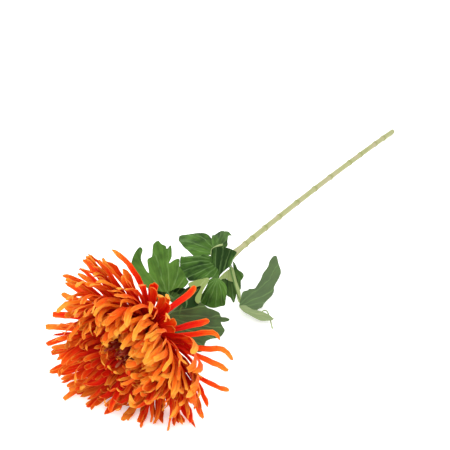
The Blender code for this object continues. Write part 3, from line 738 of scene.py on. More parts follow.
print("ripples on the longest petal", round(max(petal[5] for petal in ring_petals) / RIPPLE_LENGTH, 1))

# %% Join straps and thicken them
CLOTH_THICKNESS = 0.0004
# Faces that meet at less than this angle are shaded as one
SMOOTH_ANGLE = math.radians(50)


def join_up(things, name, *materials):
    """Join objects into the first of them, and give the whole its materials."""
    clear_selection()
    for thing in things:
        thing.select_set(True)
    bpy.context.view_layer.objects.active = things[0]
    bpy.ops.object.join()
    joined = named(name)
    for material in materials:
        joined.data.materials.append(material)
    return joined


def apply_solidify(thing, thickness, second_slot=0):
    """Give a sheet its thickness; the far side may take the second material."""
    clear_selection()
    bpy.context.view_layer.objects.active = thing
    thing.select_set(True)
    wall = thing.modifiers.new("cloth", "SOLIDIFY")
    wall.thickness = thickness
    wall.offset = 0
    wall.material_offset = second_slot
    bpy.ops.object.modifier_apply(modifier=wall.name)
    bpy.ops.object.shade_smooth_by_angle(angle=SMOOTH_ANGLE)


print("cloth", CLOTH_THICKNESS / MILLIMETRE, "mm thick")

# %% Make the bloom
LAY_SEED = 21
# What is drawn for each petal: its pattern by number, how far its tone may be off, its curl across (degrees),
# its fold's height and how far it wanders to its sides (m)
PATTERN_DRAWS = (0, 0, 1, 1, 2, 2)
TONE_SPREAD = 0.60
CURLS = (70, 200)
FOLDS = (-0.0004, 0.0005)
WANDERS = (0.0, 0.0048)


def make_petals(name, petals, seed):
    """Lay a list of petals and join them."""
    draw = random.Random(seed)
    straps = []
    for tone, *walk_numbers, width in petals:
        length = walk_numbers[4]
        pattern = petal_patterns[draw.choice(PATTERN_DRAWS)]
        tone = min(1, tone + draw.uniform(-TONE_SPREAD, TONE_SPREAD))
        straps.append(lay_strap(pattern, petal_walk(*walk_numbers), length, width,
                                math.radians(draw.uniform(*CURLS)), draw.uniform(0, math.tau), tone,
                                draw.uniform(*FOLDS), draw.uniform(*WANDERS)))
    bloom = join_up(straps, name, petal_inside, petal_back)
    apply_solidify(bloom, CLOTH_THICKNESS, second_slot=1)
    return bloom


bloom_petals = make_petals("bloom_petals", ring_petals + loose_petals(), LAY_SEED)
filling_petals = make_petals("bloom_filling", between_petals + outstanding_petals(), LAY_SEED + 1)
for piece in (bloom_petals, filling_petals):
    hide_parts("bloom")
    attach(piece, "root")
    print(piece.name, len(piece.data.polygons), "faces")

# %% [markdown]
# ## The heart
# In the hollow of the bloom stands a tuft of dark florets, small straps of maroon cloth with paler, browned
# tips. They could be cones or a lump with a bump map. They are small petals here, from the same kind of
# pattern, set out on a sunflower spiral, as they are on the moulded button that holds them.

# %% Dye the floret cloth
FLORET_ROUGHNESS = 0.7
# How much a floret's own tone adds to the place along it, and between which sums maroon turns to brown
FLORET_TONE = 0.5
BROWNED = (0.2, 1.4)


def floret_cloth():
    """Maroon polyester, browned at the tips: dark, with paler ends that catch the light."""
    material, tree, shader = new_material("dyed maroon floret cloth", FLORET_ROUGHNESS, CLOTH_SPECULAR)
    along = add(tree, "SeparateXYZ", {0: add(tree, "UVMap", uv_map="UVMap")}).outputs[1]
    tone = add(tree, "Attribute", attribute_name="tone").outputs["Fac"]
    run = add(tree, "Math", {0: tone, 1: FLORET_TONE, 2: along}, operation="MULTIPLY_ADD")
    run = add(tree, "MapRange", {"Value": run, "From Min": BROWNED[0], "From Max": BROWNED[1]})
    dye = add(tree, "ValToRGB", {0: run},
              stops=((0.0, "#5A0302"), (0.5, "#7E0A04"), (0.75, "#94301A"), (1.0, "#B06A48")))
    wire(tree, shader, {"Base Color": dye})
    return material


floret_material = floret_cloth()
print("material", floret_material.name)

# %% Bend a short blade and turn a rod


def bend_walk(start, heading, normal, turn, length):
    """Stations of a short blade that bends towards its inner side as it grows."""
    walk = []
    point = start.copy()
    for step in range(WALK_STEPS + 1):
        walk.append((point.copy(), normal.copy(), heading.cross(normal)))
        bent = heading * math.cos(turn / WALK_STEPS) + normal * math.sin(turn / WALK_STEPS)
        normal = normal * math.cos(turn / WALK_STEPS) - heading * math.sin(turn / WALK_STEPS)
        heading = bent
        point = point + heading * (length / WALK_STEPS)
    return walk


def make_rod(name, line, sides, material, flutes=0, flute_depth=0.0, upward=Vector((0, 0, 1))):
    """A round rod through (place, radius) stations: a cylinder cut into rings, then laid along them."""
    clear_selection()
    rows = len(line) - 1
    bpy.ops.mesh.primitive_cylinder_add(vertices=sides, radius=1, depth=rows, location=(0, 0, rows / 2))
    rod = named(name)
    bpy.ops.object.transform_apply(location=True)

    def runs_along(edge):
        low, high = (rod.data.vertices[corner].co.z for corner in edge.vertices)
        return abs(high - low) > rows / 2

    pick(rod, "EDGE", runs_along)
    bpy.ops.mesh.subdivide(number_cuts=rows - 1)
    clear_selection()
    for vertex in rod.data.vertices:
        row = round(vertex.co.z)
        place, radius = line[row]
        heading = (line[min(row + 1, rows)][0] - line[max(row - 1, 0)][0]).normalized()
        side = upward.cross(heading).normalized()
        normal = heading.cross(side)
        angle = math.atan2(vertex.co.y, vertex.co.x)
        size = radius + flute_depth * math.cos(flutes * angle)
        vertex.co = place + (side * math.cos(angle) + normal * math.sin(angle)) * size
    rod.select_set(True)
    bpy.context.view_layer.objects.active = rod
    bpy.ops.object.shade_smooth_by_angle(angle=SMOOTH_ANGLE)
    rod.data.materials.append(material)
    return rod


print("a walk has", WALK_STEPS, "steps")

# %% Make the heart
HEART_SEED = 5
# How far in front of its middle the core is cut flat, and the gap that touching pieces keep (m)
CORE_FRONT = 0.0098
GAP = 0.0003
BUTTON_RADIUS = 0.0066
BUTTON_HEIGHT = 0.003
BUTTON_STEPS = 6
BUTTON_SIDES = 24
# How far the button is rounded over, which leaves a small flat in its middle
BUTTON_ROUND = 0.95
FLORETS = 80
FLORET_LENGTH = 0.029
FLORET_WIDTH = 0.0030
FLORET_CURL = math.radians(120)
FLORET_COLUMNS = 2
FLORET_WIDTHS = (0.4, 0.7, 0.9, 1.0, 1.0, 0.9, 0.4)
# The florets' lengths (shares) and bends (degrees) that are drawn, how high in the button they are rooted,
# how far from its middle the outermost stand and how far they lean out
FLORET_LENGTHS = (0.55, 1.05)
FLORET_BENDS = (-10, 75)
FLORET_ROOT = 0.4
HEART_SPREAD = 0.0062
HEART_LEAN = math.radians(40)
GOLDEN_ANGLE = math.radians(137.5)

floret_pattern = cut_strap("floret", FLORET_WIDTHS, FLORET_COLUMNS)
heart_seat = CORE + FACE * (CORE_FRONT + GAP)
draw = random.Random(HEART_SEED)
straps = []
for number in range(FLORETS):
    share = math.sqrt((number + 0.5) / FLORETS)
    outward = around(number * GOLDEN_ANGLE)
    lean = HEART_LEAN * share
    heading = (FACE * math.cos(lean) + outward * math.sin(lean)).normalized()
    normal = (FACE * math.sin(lean) - outward * math.cos(lean)).normalized()
    start = heart_seat + FACE * (BUTTON_HEIGHT * FLORET_ROOT) + outward * (HEART_SPREAD * share)
    length = FLORET_LENGTH * draw.uniform(*FLORET_LENGTHS)
    walk = bend_walk(start, heading, normal, math.radians(draw.uniform(*FLORET_BENDS)), length)
    straps.append(lay_strap(floret_pattern, walk, length, FLORET_WIDTH, FLORET_CURL,
                            draw.uniform(0, math.tau), draw.uniform(0, 1)))
heart = join_up(straps, "heart_florets", floret_material)
apply_solidify(heart, CLOTH_THICKNESS)

button_line = []
for step in range(BUTTON_STEPS + 1):
    turn = math.pi / 2 * step / BUTTON_STEPS
    button_line.append((heart_seat + FACE * (BUTTON_HEIGHT * math.sin(turn)),
                        BUTTON_RADIUS * math.cos(turn * BUTTON_ROUND)))
button = make_rod("heart_button", button_line, BUTTON_SIDES, floret_material)
for piece in (heart, button):
    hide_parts("heart")
    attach(piece, "root")
    print(piece.name, len(piece.data.polygons), "faces")

# %% [markdown]
# ## The core, the calyx and the stalk
# Behind the petals is a moulded green cup with narrow bracts, on a stalk that ends in a paler collar. All of
# these are polyethylene. They could be drawn as curves with a bevel. The cup and the stalk are turned shapes,
# so each is a cylinder that is cut into rings and laid along a line of stations, which also gives the stalk
# shallow flutes like a real plant's.

# %% The green plastics
PLASTIC_SPECULAR = 0.4
CALYX_ROUGHNESS = 0.5
STALK_ROUGHNESS = 0.45
STREAK_LENGTH = 16.7 * MILLIMETRE
STREAK_WIDTH = 2.38 * MILLIMETRE
GRAIN_STRENGTH = 0.3
GRAIN_DEPTH = 0.4 * MILLIMETRE
# Between these distances from the core the stalk pales towards its collar (m)
PALE_START = 0.150
PALE_END = 0.160


def streaked_plastic(name, roughness, specular, length, width, stops):
    """Moulded polyethylene: waxy, with streaks along the stem that are just felt; and its colour node."""
    material, tree, shader = new_material(name, roughness, specular)
    place = add(tree, "Mapping", {"Vector": add(tree, "TexCoord").outputs["Object"],
                                  "Scale": (1 / length, 1 / width, 1 / width)})
    noise = add(tree, "TexNoise", {"Vector": place, "Scale": 1.0, "Detail": 3.0})
    colour = add(tree, "ValToRGB", {0: noise}, stops=stops)
    grain = add(tree, "Bump", {"Height": noise, "Strength": GRAIN_STRENGTH, "Distance": GRAIN_DEPTH})
    wire(tree, shader, {"Base Color": colour, "Normal": grain})
    return material, tree, shader, colour


def tint(tree, shader, colour, share, code):
    """Mix another colour into a material's own, as much as a share says."""
    mixed = add(tree, "Mix", {MIX_FACTOR: share, MIX_A: colour, MIX_B: linear(code)}, data_type="RGBA")
    wire(tree, shader, {"Base Color": mixed.outputs[MIX_COLOUR]})


calyx_material = streaked_plastic("moulded calyx plastic", CALYX_ROUGHNESS, PLASTIC_SPECULAR, STREAK_LENGTH,
                                  STREAK_WIDTH, ((0.32, "#2C4A1A"), (0.68, "#57703A")))[0]
stalk_material, tree, shader, olive = streaked_plastic(
    "moulded stalk plastic", STALK_ROUGHNESS, PLASTIC_SPECULAR, STREAK_LENGTH, STREAK_WIDTH,
    ((0.32, "#33471A"), (0.68, "#62753A")))
place = add(tree, "SeparateXYZ", {0: add(tree, "TexCoord").outputs["Object"]})
pale = add(tree, "MapRange", {"Value": place, "From Min": FOOT.x + PALE_START, "From Max": FOOT.x + PALE_END})
tint(tree, shader, olive, pale, "#9BA062")
print("materials", calyx_material.name, "and", stalk_material.name)

# %% Make the core
# How far behind its middle the core is cut flat (m)
CORE_BACK = 0.0092
CORE_STEPS = 10
TURNED_SIDES = 32

first = math.acos(CORE_FRONT / CORE_HALF_DEPTH)
last = math.pi - math.acos(CORE_BACK / CORE_HALF_DEPTH)
angles = [first + (last - first) * step / CORE_STEPS for step in range(CORE_STEPS + 1)]
core_line = [(CORE + FACE * (CORE_HALF_DEPTH * math.cos(angle)), CORE_RADIUS * math.sin(angle))
             for angle in angles]
core = make_rod("bloom_core", core_line, TURNED_SIDES, floret_material)
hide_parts("bloom")
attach(core, "root")
print("core", len(core.data.polygons), "faces")

# %% Make the calyx
CALYX_FRONT_RADIUS = 0.0088
CALYX_END = 0.0205
# The cup's stations: shares of its depth and of its front radius
CALYX_PROFILE = ((0.0, 1.0), (0.12, 1.0), (0.25, 0.98), (0.4, 0.9), (0.55, 0.76), (0.7, 0.6), (0.85, 0.47),
                 (1.0, 0.38))
BRACTS = 18
BRACT_LENGTH = 0.011
BRACT_WIDTH = 0.0034
BRACT_LEAN = math.radians(48)
BRACT_BEND = math.radians(25)
BRACT_CURL = math.radians(70)
BRACT_COLUMNS = 2
BRACT_WIDTHS = (1.0, 1.0, 0.9, 0.75, 0.5, 0.15)
# The bracts grow by turns from two places along the cup, inside its wall, and each ripples a little later
BRACT_PLACES = (0.18, 0.38)
BRACT_ROOT = 0.8
BRACT_PHASE = 0.7

calyx_seat = CORE - FACE * (CORE_BACK + GAP)
depth = CALYX_END - CORE_BACK
cup_line = [(calyx_seat - FACE * (depth * share), CALYX_FRONT_RADIUS * part) for share, part in CALYX_PROFILE]
cup = make_rod("calyx_cup", cup_line, TURNED_SIDES, calyx_material)
bract_pattern = cut_strap("bract", BRACT_WIDTHS, BRACT_COLUMNS)
straps = []
for number in range(BRACTS):
    outward = around(math.tau * number / BRACTS)
    heading = (outward * math.cos(BRACT_LEAN) - FACE * math.sin(BRACT_LEAN)).normalized()
    normal = (FACE * math.cos(BRACT_LEAN) + outward * math.sin(BRACT_LEAN)).normalized()
    start = (calyx_seat - FACE * (depth * BRACT_PLACES[number % 2])
             + outward * (CALYX_FRONT_RADIUS * BRACT_ROOT))
    walk = bend_walk(start, heading, normal, BRACT_BEND, BRACT_LENGTH)
    straps.append(lay_strap(bract_pattern, walk, BRACT_LENGTH, BRACT_WIDTH, BRACT_CURL, BRACT_PHASE * number))
bracts = join_up(straps, "calyx_bracts", calyx_material)
apply_solidify(bracts, CLOTH_THICKNESS)
for piece in (cup, bracts):
    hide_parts("calyx")
    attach(piece, "root")
    print(piece.name, len(piece.data.polygons), "faces")

# %% Make the stalk
STALK_RADIUS = 0.0033
STALK_END = 0.176
STALK_SIDES = 30
STALK_STEP = 0.004
FLUTES = 5
FLUTE_DEPTH = 0.00018
# The stalk starts a little wider, runs straight behind the bloom and then follows the stem's bow
NECK_FLARE = 1.15
NECK_FLARE_LENGTH = 0.003
NECK_RUN = 0.012
BOW_START = 0.045
COLLAR_RADIUS = 0.0044
COLLAR_LENGTH = 0.016
COLLAR_TAPER = 0.003
COLLAR_SHARES = (0.35, 0.7, 1.0)
# The collar's last stations: distance from its end, share of its radius
COLLAR_LIP = ((0.006, 1.0), (0.001, 1.0), (0.0, 0.85))

neck = CORE - FACE * (CALYX_END + 2 * GAP)
collar_start = STALK_END - COLLAR_LENGTH
stalk_line = [(neck, STALK_RADIUS * NECK_FLARE), (neck - FACE * NECK_FLARE_LENGTH, STALK_RADIUS),
              (neck - FACE * NECK_RUN, STALK_RADIUS)]
steps = round((collar_start - BOW_START) / STALK_STEP)
stalk_line += [(stem_point(BOW_START + (collar_start - BOW_START) * step / steps), STALK_RADIUS)
               for step in range(steps + 1)]
stalk_line += [(stem_point(collar_start + COLLAR_TAPER * share),
                STALK_RADIUS + (COLLAR_RADIUS - STALK_RADIUS) * share) for share in COLLAR_SHARES]
stalk_line += [(stem_point(STALK_END - before), COLLAR_RADIUS * part) for before, part in COLLAR_LIP]
stalk = make_rod("stalk_rod", stalk_line, STALK_SIDES, stalk_material, FLUTES, FLUTE_DEPTH)
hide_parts("stalk")
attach(stalk, "root")
print("stalk", len(stalk.data.polygons), "faces")

# %% [markdown]
# ## The pale stem
# The long stem is yellow-green polyethylene moulded over a wire. Low rings mark the places where leaves would
# have been, the colour is blotched with beige between them and greener at each ring. The rings are geometry,
# as stations of the rod, and an attribute on the mesh tells the material how near a ring is.

# %% Shape the stem
PLUG_RADIUS = 0.0026
SOCKET_DEPTH = 0.012
STEM_RADIUS = 0.0031
STEM_TIP_RADIUS = 0.0028
STEM_SIDES = 20
# The stem's foot widens towards the collar: distance from the collar, width added to the radius
FOOT_PROFILE = ((0.0003, 0.0009), (0.0060, 0.0008), (0.0120, 0.0004), (0.0190, 0.0))
STEM_RINGS = (0.204, 0.219, 0.247, 0.278, 0.319, 0.361, 0.398, 0.446, 0.474, 0.513, 0.535)
# Each ring: distance from its place along the stem, height above the stem
RING_PROFILE = ((-0.0060, 0.0), (-0.0036, 0.00008), (-0.0020, 0.00030), (-0.0010, 0.00052), (0.0, 0.00058),
                (0.0008, 0.00045), (0.0018, 0.00018), (0.0045, 0.0))
CUT_EDGE = 0.0006

stem_start = STALK_END - SOCKET_DEPTH + 2 * GAP
stem_line = [(stem_point(stem_start), PLUG_RADIUS), (stem_point(STALK_END), PLUG_RADIUS)]
stem_line += [(stem_point(STALK_END + offset), STEM_RADIUS + more) for offset, more in FOOT_PROFILE]
for x in STEM_RINGS:
    radius = STEM_RADIUS + (STEM_TIP_RADIUS - STEM_RADIUS) * (x - stem_start) / (REACH - stem_start)
    stem_line += [(stem_point(x + offset), radius + rise) for offset, rise in RING_PROFILE]
stem_line += [(stem_point(REACH - CUT_EDGE), STEM_TIP_RADIUS),
              (stem_point(REACH), STEM_TIP_RADIUS - CUT_EDGE / 2)]
print("stations along the stem", len(stem_line))

# %% Make the stem
STEM_ROUGHNESS = 0.5
STEM_SPECULAR = 0.15
BLOTCH_LENGTH = 22.2 * MILLIMETRE
BLOTCH_WIDTH = 3.85 * MILLIMETRE
# How far a ring's green reaches along the stem, and how green it is at most
RING_REACH = 0.0035
RING_GREEN = 0.6

stem_material, tree, shader, body = streaked_plastic(
    "moulded stem plastic", STEM_ROUGHNESS, STEM_SPECULAR, BLOTCH_LENGTH, BLOTCH_WIDTH,
    ((0.30, "#909462"), (0.50, "#9B9D6E"), (0.72, "#A39A7C")))
ring = add(tree, "Attribute", attribute_name="ring").outputs["Fac"]
tint(tree, shader, body, ring, "#727A38")

stem = make_rod("stem_rod", stem_line, STEM_SIDES, stem_material)
nearest = [min(abs(vertex.co.x - FOOT.x - x) for x in STEM_RINGS) for vertex in stem.data.vertices]
stain(stem, ring=[max(0, 1 - distance / RING_REACH) * RING_GREEN for distance in nearest])
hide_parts("stem")
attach(stem, "root")
print("stem", len(stem.data.polygons), "faces")

# %% [markdown]
# ## Leaf cloth
# The leaves are cut from polyester cloth that is printed dark green above, with fine light veins, and left
# pale below. Heat presses the veins in. They spread from the foot of a leaf like a fan, so an attribute on
# the mesh counts them: it is a whole number on a vein. A second attribute says how many millimetres lie
# between two veins there, which keeps every line equally thin.

# %% The two materials of the leaves
LEAF_ROUGHNESS = 0.65
LEAF_SPECULAR = 0.1
# Half a vein's width (mm), and how much of it is fully light
VEIN_WIDTH = 0.9
VEIN_MIDDLE = 0.25
MOTTLE_SIZE = 16.7 * MILLIMETRE
# The threads of the real cloth are a fifth of this apart, too fine to show
WEAVE_SIZE = 1.11 * MILLIMETRE
# The print's streaks follow the veins: how fine they are across them and along them, and the leaf's own part
STREAK_FINENESS = (4.0, 0.25, 20.0)
# What the mottles and the streaks add to a leaf's brightness, which is partly painted light and shade, and
# where its dark and its light green lie
MOTTLE_SHARE = 2.0
STREAK_SHARE = 1.4
GREENS = (1.6, 2.8)
# How far the mottles push the veins aside, between which streaks a vein is worn off, and how deep it lies
VEIN_SWAY = 0.8
WORN = (0.3, 0.7)
VEIN_PRESS = -1.5
LEAF_BUMP = 0.4
LEAF_DEPTH = 0.3 * MILLIMETRE


def leaf_cloth(name, dark, light, vein, faded, strength):
    """Printed polyester: streaked green, thin light veins, a weave only felt as a bump, painted light and
    shade.
    """
    material, tree, shader = new_material(name, LEAF_ROUGHNESS, LEAF_SPECULAR)
    bright, grey, fan, gap = (add(tree, "Attribute", attribute_name=mark).outputs["Fac"]
                              for mark in ("bright", "grey", "fan", "gap"))
    spot = add(tree, "TexCoord").outputs["Object"]
    mottle = add(tree, "TexNoise", {"Vector": spot, "Scale": 1 / MOTTLE_SIZE, "Detail": 4.0})
    ray = add(tree, "CombineXYZ", {0: fan, 1: gap, 2: bright})
    stretched = add(tree, "Mapping", {"Vector": ray, "Scale": STREAK_FINENESS})
    streaks = add(tree, "TexNoise", {"Vector": stretched, "Scale": 1.0, "Detail": 3.0})
    # Each part's own lightness is partly the print's tone and partly painted light and shade: parts in shade
    # are set darker
    mix = add(tree, "Math", {0: mottle, 1: MOTTLE_SHARE, 2: bright}, operation="MULTIPLY_ADD")
    mix = add(tree, "Math", {0: streaks, 1: STREAK_SHARE, 2: mix}, operation="MULTIPLY_ADD")
    mix = add(tree, "MapRange", {"Value": mix, "From Min": GREENS[0], "From Max": GREENS[1]})
    bent = add(tree, "Math", {0: mottle, 1: VEIN_SWAY, 2: fan}, operation="MULTIPLY_ADD")
    away = add(tree, "Math", {0: bent, 1: 0.5}, operation="PINGPONG")
    away = add(tree, "Math", {0: away, 1: gap}, operation="MULTIPLY")
    lines = add(tree, "MapRange", {"Value": away, "From Min": VEIN_WIDTH,
                                   "From Max": VEIN_WIDTH * VEIN_MIDDLE})
    worn = add(tree, "MapRange", {"Value": streaks, "From Min": WORN[0], "From Max": WORN[1],
                                  "To Max": strength})
    shown = add(tree, "Math", {0: lines, 1: worn}, operation="MULTIPLY")
    colour = linear(dark)
    for share, code in ((mix, light), (grey, faded), (shown, vein)):
        colour = add(tree, "Mix", {MIX_FACTOR: share, MIX_A: colour, MIX_B: linear(code)},
                     data_type="RGBA").outputs[MIX_COLOUR]
    weave = add(tree, "TexNoise", {"Vector": spot, "Scale": 1 / WEAVE_SIZE, "Detail": 2.0})
    height = add(tree, "Math", {0: lines, 1: VEIN_PRESS, 2: weave}, operation="MULTIPLY_ADD")
    bump = add(tree, "Bump", {"Height": height, "Strength": LEAF_BUMP, "Distance": LEAF_DEPTH})
    wire(tree, shader, {"Base Color": colour, "Normal": bump})
    return material


leaf_upper = leaf_cloth("printed leaf cloth", "#17300A", "#4C7228", "#6F8E54", "#576849", 0.55)
leaf_lower = leaf_cloth("pale leaf underside", "#78884A", "#9AAA70", "#A6B480", "#76856A", 0.4)
print("materials", leaf_upper.name, "and", leaf_lower.name)

# %% [markdown]
# ## The leaves
# Each leaf is a lobed blade on a petiole, bent and folded its own way. Drawing its outline and filling it
# would leave nothing to bend, so each blade is a fine grid, cut to the outline: what lies outside is deleted
# and the rim is moved onto the line. The grid is then bent along its midrib, folded, rippled and raised
# between the veins. A moulded rib carries it from below. Places in the outlines are whole millimetres, along
# the blade from its base and to the right of it.

# %% List the leaves
# name: place along the stem, blade base, blade tip, bow (along the face), face, fold (degrees), how far the
# fan of veins starts behind the base (mm), veins in half a turn, and the blade's parts. Each part: lift (mm),
# how light it is, partly the print's tone and partly painted light and shade (well below zero it is a sheet
# painted in full shade), how grey, whether it shows its underside, and its outline.
LEAVES = {
    "leaf_1": (
        0.068, (0.073, 0.016, 0.066), (0.110, 0.049, 0.096), 0.004, (-0.65, -0.35, 0.65), 8, 8, 9, (
        (0, 0.80, 0.0, False, (
            (0, 0), (3, -9), (7, -18), (16, -26), (26, -31), (36, -31), (45, -27), (54, -20), (50, -17),
            (38, -20), (23, -15), (37, -14), (40, -9), (49, -7), (55, -5), (58, 0), (53, 3), (49, 7),
            (45, 7), (49, 12), (36, 11), (29, 7), (31, 12), (31, 18), (23, 17), (17, 20), (9, 22),
            (6, 23), (1, 17), (2, 10))),
        (-7, 0.35, 0.1, False, ((6, -2), (2, 4), (-4, 12), (-9, 10), (-12, 5), (-8, 1), (-2, -3))),
        # A dark sheet below the blade, painted in full shade: the shadow under this leaf
        (-10, -0.9, 0.0, False, (
            (15, -16), (8, -7), (6, 5), (4, 15), (-2, 22), (-5, 14), (-4, 6), (-9, -4), (-5, -13),
            (5, -19))))),
    "leaf_2": (
        0.165, (0.168, 0.019, 0.060), (0.185, 0.070, 0.047), 0.004, (-0.15, -0.10, 1.00), 8, 14, 9, (
        (0, 0.50, 0.0, False, (
            (-5, -7), (-3, -14), (3, -19), (9, -20), (21, -17), (33, -13), (42, -9), (50, -5), (56, 0),
            (58, 4), (47, 9), (34, 13), (26, 15), (19, 14), (8, 9), (0, 3))),)),
    "leaf_3": (
        0.169, (0.168, 0.013, 0.064), (0.204, 0.025, 0.060), 0.003, (-0.30, -0.30, 0.90), 10, 10, 9, (
        (0, 0.45, 0.1, False, (
            (-2, 0), (1, -6), (14, -10), (20, -8), (32, -4), (38, 0), (37, 4), (32, 7), (30, 9), (27, 6),
            (16, 7), (6, 9), (1, 5))),)),
    "leaf_4": (
        0.154, (0.134, -0.006, 0.051), (0.157, 0.005, 0.073), 0.002, (-0.60, -0.30, 0.75), 6, 12, 14, (
        (3, 0.0, 0.0, False, (
            (0, 0), (4, -3), (11, -6), (19, -7), (27, -7), (32, -6), (35, 2), (33, 11), (31, 16),
            (29, 19), (26, 18), (22, 16), (16, 14), (11, 9), (6, 4))),)),
    "leaf_5": (
        0.136, (0.139, 0.004, 0.066), (0.103, 0.019, 0.074), 0.003, (-0.25, -0.35, 0.90), 8, 14, 14, (
        (0, 0.30, 0.0, False, (
            (-11, -1), (-5, -10), (4, -20), (12, -19), (18, -18), (25, -17), (37, -16), (39, -13),
            (39, -7), (40, 0), (38, 5), (33, 13), (29, 12), (20, 11), (12, 9), (4, 10), (-8, 6))),)),
    "leaf_6": (
        0.119, (0.120, -0.014, 0.059), (0.104, -0.018, 0.039), 0.002, (-0.72, -0.41, 0.56), 6, 5, 9, (
        (0, 0.55, 0.0, False, (
            (-5, 0), (-2, -7), (3, -11), (9, -12), (16, -12), (21, -12), (23, -8), (26, 0), (24, 10),
            (22, 13), (15, 13), (7, 10), (-3, 7))),)),
    "leaf_7": (
        0.082, (0.077, 0.004, 0.037), (0.106, -0.037, 0.031), 0.003, (-0.72, -0.55, 0.20), 6, 22, 11, (
        (0, 0.25, 0.4, False, (
            (-17, 13), (-11, -2), (-3, -12), (6, -20), (15, -20), (22, -17), (27, -13), (33, -11),
            (39, -8), (42, -3), (47, -2), (51, 0), (50, 2), (45, 3), (42, 3), (44, 7), (47, 12), (45, 17),
            (41, 20), (33, 21), (28, 25), (27, 34), (24, 43), (18, 43), (15, 34), (8, 26), (-2, 22),
            (-11, 20))),)),
    "leaf_8": (
        0.166, (0.162, -0.019, 0.012), (0.233, -0.021, 0.027), -0.003, (-0.15, -0.22, 0.95), 10, 14, 10, (
        (0, 0.45, 0.75, False, (
            (0, -1), (8, -4), (12, -4), (16, -2), (20, -1), (23, 3), (28, 3), (38, 2), (46, 0), (56, 0),
            (63, -2), (70, -2), (73, 0), (71, 3), (65, 8), (58, 15), (52, 17), (37, 19), (31, 22),
            (25, 23), (18, 22), (10, 22), (3, 23), (-3, 21), (-5, 27), (-8, 26), (-11, 17), (-11, 9),
            (-9, 3))),
        (1, 0.3, 0.5, True, (
            (-9, 3), (-5, 8), (-6, 16), (-4, 22), (-3, 31), (-4, 41), (-9, 38), (-14, 30), (-14, 17),
            (-13, 9))))),
    "leaf_9": (
        0.171, (0.171, -0.002, 0.044), (0.164, -0.017, 0.008), 0.001, (-0.70, -0.40, 0.30), 0, 12, 10, (
        (0, 0.15, 0.1, False, (
            (9, 14), (9, 10), (13, 7), (16, 2), (20, -1), (28, 1), (34, 4), (38, 7), (32, 9), (29, 12),
            (21, 12))),
        (1, 0.35, 0.1, False, (
            (-5, -3), (-1, -5), (4, -6), (9, -10), (13, -10), (16, -7), (17, -6), (25, -4), (24, -1),
            (9, -1))),
        (3, 0.9, 0.0, True, (
            (10, 17), (4, 9), (1, 2), (-1, -1), (5, -2), (15, -2), (27, -3), (36, -1), (39, 1), (34, 2),
            (26, 1), (17, 1), (13, 6), (10, 9))))),
    "leaf_10": (
        0.117, (0.115, -0.004, 0.0675), (0.091, -0.005, 0.070), 0.002, (-0.40, -0.40, 0.80), 14, 12, 8, (
        (0, -0.2, 0.0, True, (
            (28, 6), (13, 1), (2, -4), (9, -7), (24, -10), (39, -16), (42, -13), (37, -9), (20, -5),
            (29, 0))),
        # A sheet painted in full shade
        (-4, -0.8, 0.0, False, ((27, 4), (7, -3), (24, -10), (40, -16), (52, -9), (50, -2), (43, 4))))),
}
# name: loose strips on a leaf, each a radius and a lift (mm), and its places
STRIPS = {
    "leaf_4": ((1.0, 1.0, ((-3, -2), (13, -5), (30, -7), (36, -2), (38, 4))),),
    "leaf_8": ((0.7, 0.0, ((-5, 23), (-2, 25), (3, 26), (4, 29), (1, 33), (-3, 37), (-14, 46))),
               (0.25, 0.0, ((-6, 32), (1, 41), (7, 46)))),
}
print("leaves", len(LEAVES), "with", sum(len(plan[-1]) for plan in LEAVES.values()), "parts")

# %% Cut a blade to its outline
# The size of a grid's face, and how far past the outline a corner still stays, to be moved onto it (mm)
CELL = 1.1
KEEP_BEYOND = 0.45
LINE_STEPS = 12


def smooth_line(points, steps=LINE_STEPS, closed=False):
    """Stations of a smooth curve through a few points, so many of them from each point to the next."""
    if closed:
        whole = [points[-1], *points, points[0], points[1]]
    else:
        whole = [points[0] * 2 - points[1], *points, points[-1] * 2 - points[-2]]
    dense = []
    for index in range(1, len(whole) - 2):
        a, b, c, d = whole[index - 1:index + 3]
        for step in range(steps):
            t = step / steps
            dense.append((b * 2 + (c - a) * t + (a * 2 - b * 5 + c * 4 - d) * t ** 2
                          + (b * 3 - a - c * 3 + d) * t ** 3) / 2)
    if not closed:
        dense.append(points[-1])
    return dense


def blade_grid(name, outline):
    """A grid with one face for each millimetre or so, trimmed to a smooth closed outline."""
    line = smooth_line([Vector((across, along, 0)) for along, across in outline], closed=True)
    low = Vector((min(point.x for point in line), min(point.y for point in line), 0))
    high = Vector((max(point.x for point in line), max(point.y for point in line), 0))
    turn = sum(here.x * ahead.y - ahead.x * here.y for here, ahead in zip(line, line[1:] + line[:1]))
    rim = KDTree(len(line))
    for number, point in enumerate(line):
        rim.insert(point, number)
    rim.balance()

    def lies_outside(corner):
        near, number, distance = rim.find(corner.co)
        ahead = line[(number + 1) % len(line)] - line[number - 1]
        away = corner.co - near
        return (ahead.x * away.y - ahead.y * away.x) * turn < 0 and distance > KEEP_BEYOND

    clear_selection()
    bpy.ops.mesh.primitive_grid_add(x_subdivisions=math.ceil((high.x - low.x) / CELL),
                                    y_subdivisions=math.ceil((high.y - low.y) / CELL), size=1)
    blade = named(name)
    for vertex in blade.data.vertices:
        vertex.co.x = low.x + (vertex.co.x + 0.5) * (high.x - low.x)
        vertex.co.y = low.y + (vertex.co.y + 0.5) * (high.y - low.y)
    pick(blade, "VERT", lies_outside)
    bpy.ops.mesh.delete(type="VERT")
    bpy.ops.mesh.select_all(action="SELECT")
    bpy.ops.mesh.delete_loose()
    bpy.ops.mesh.select_all(action="DESELECT")
    bpy.ops.mesh.select_non_manifold()
    bpy.ops.object.mode_set(mode="OBJECT")
    for vertex in blade.data.vertices:
        if vertex.select:
            vertex.co = rim.find(vertex.co)[0]
    return blade


print("points in the outlines", [len(part[-1]) for plan in LEAVES.values() for part in plan[-1]])

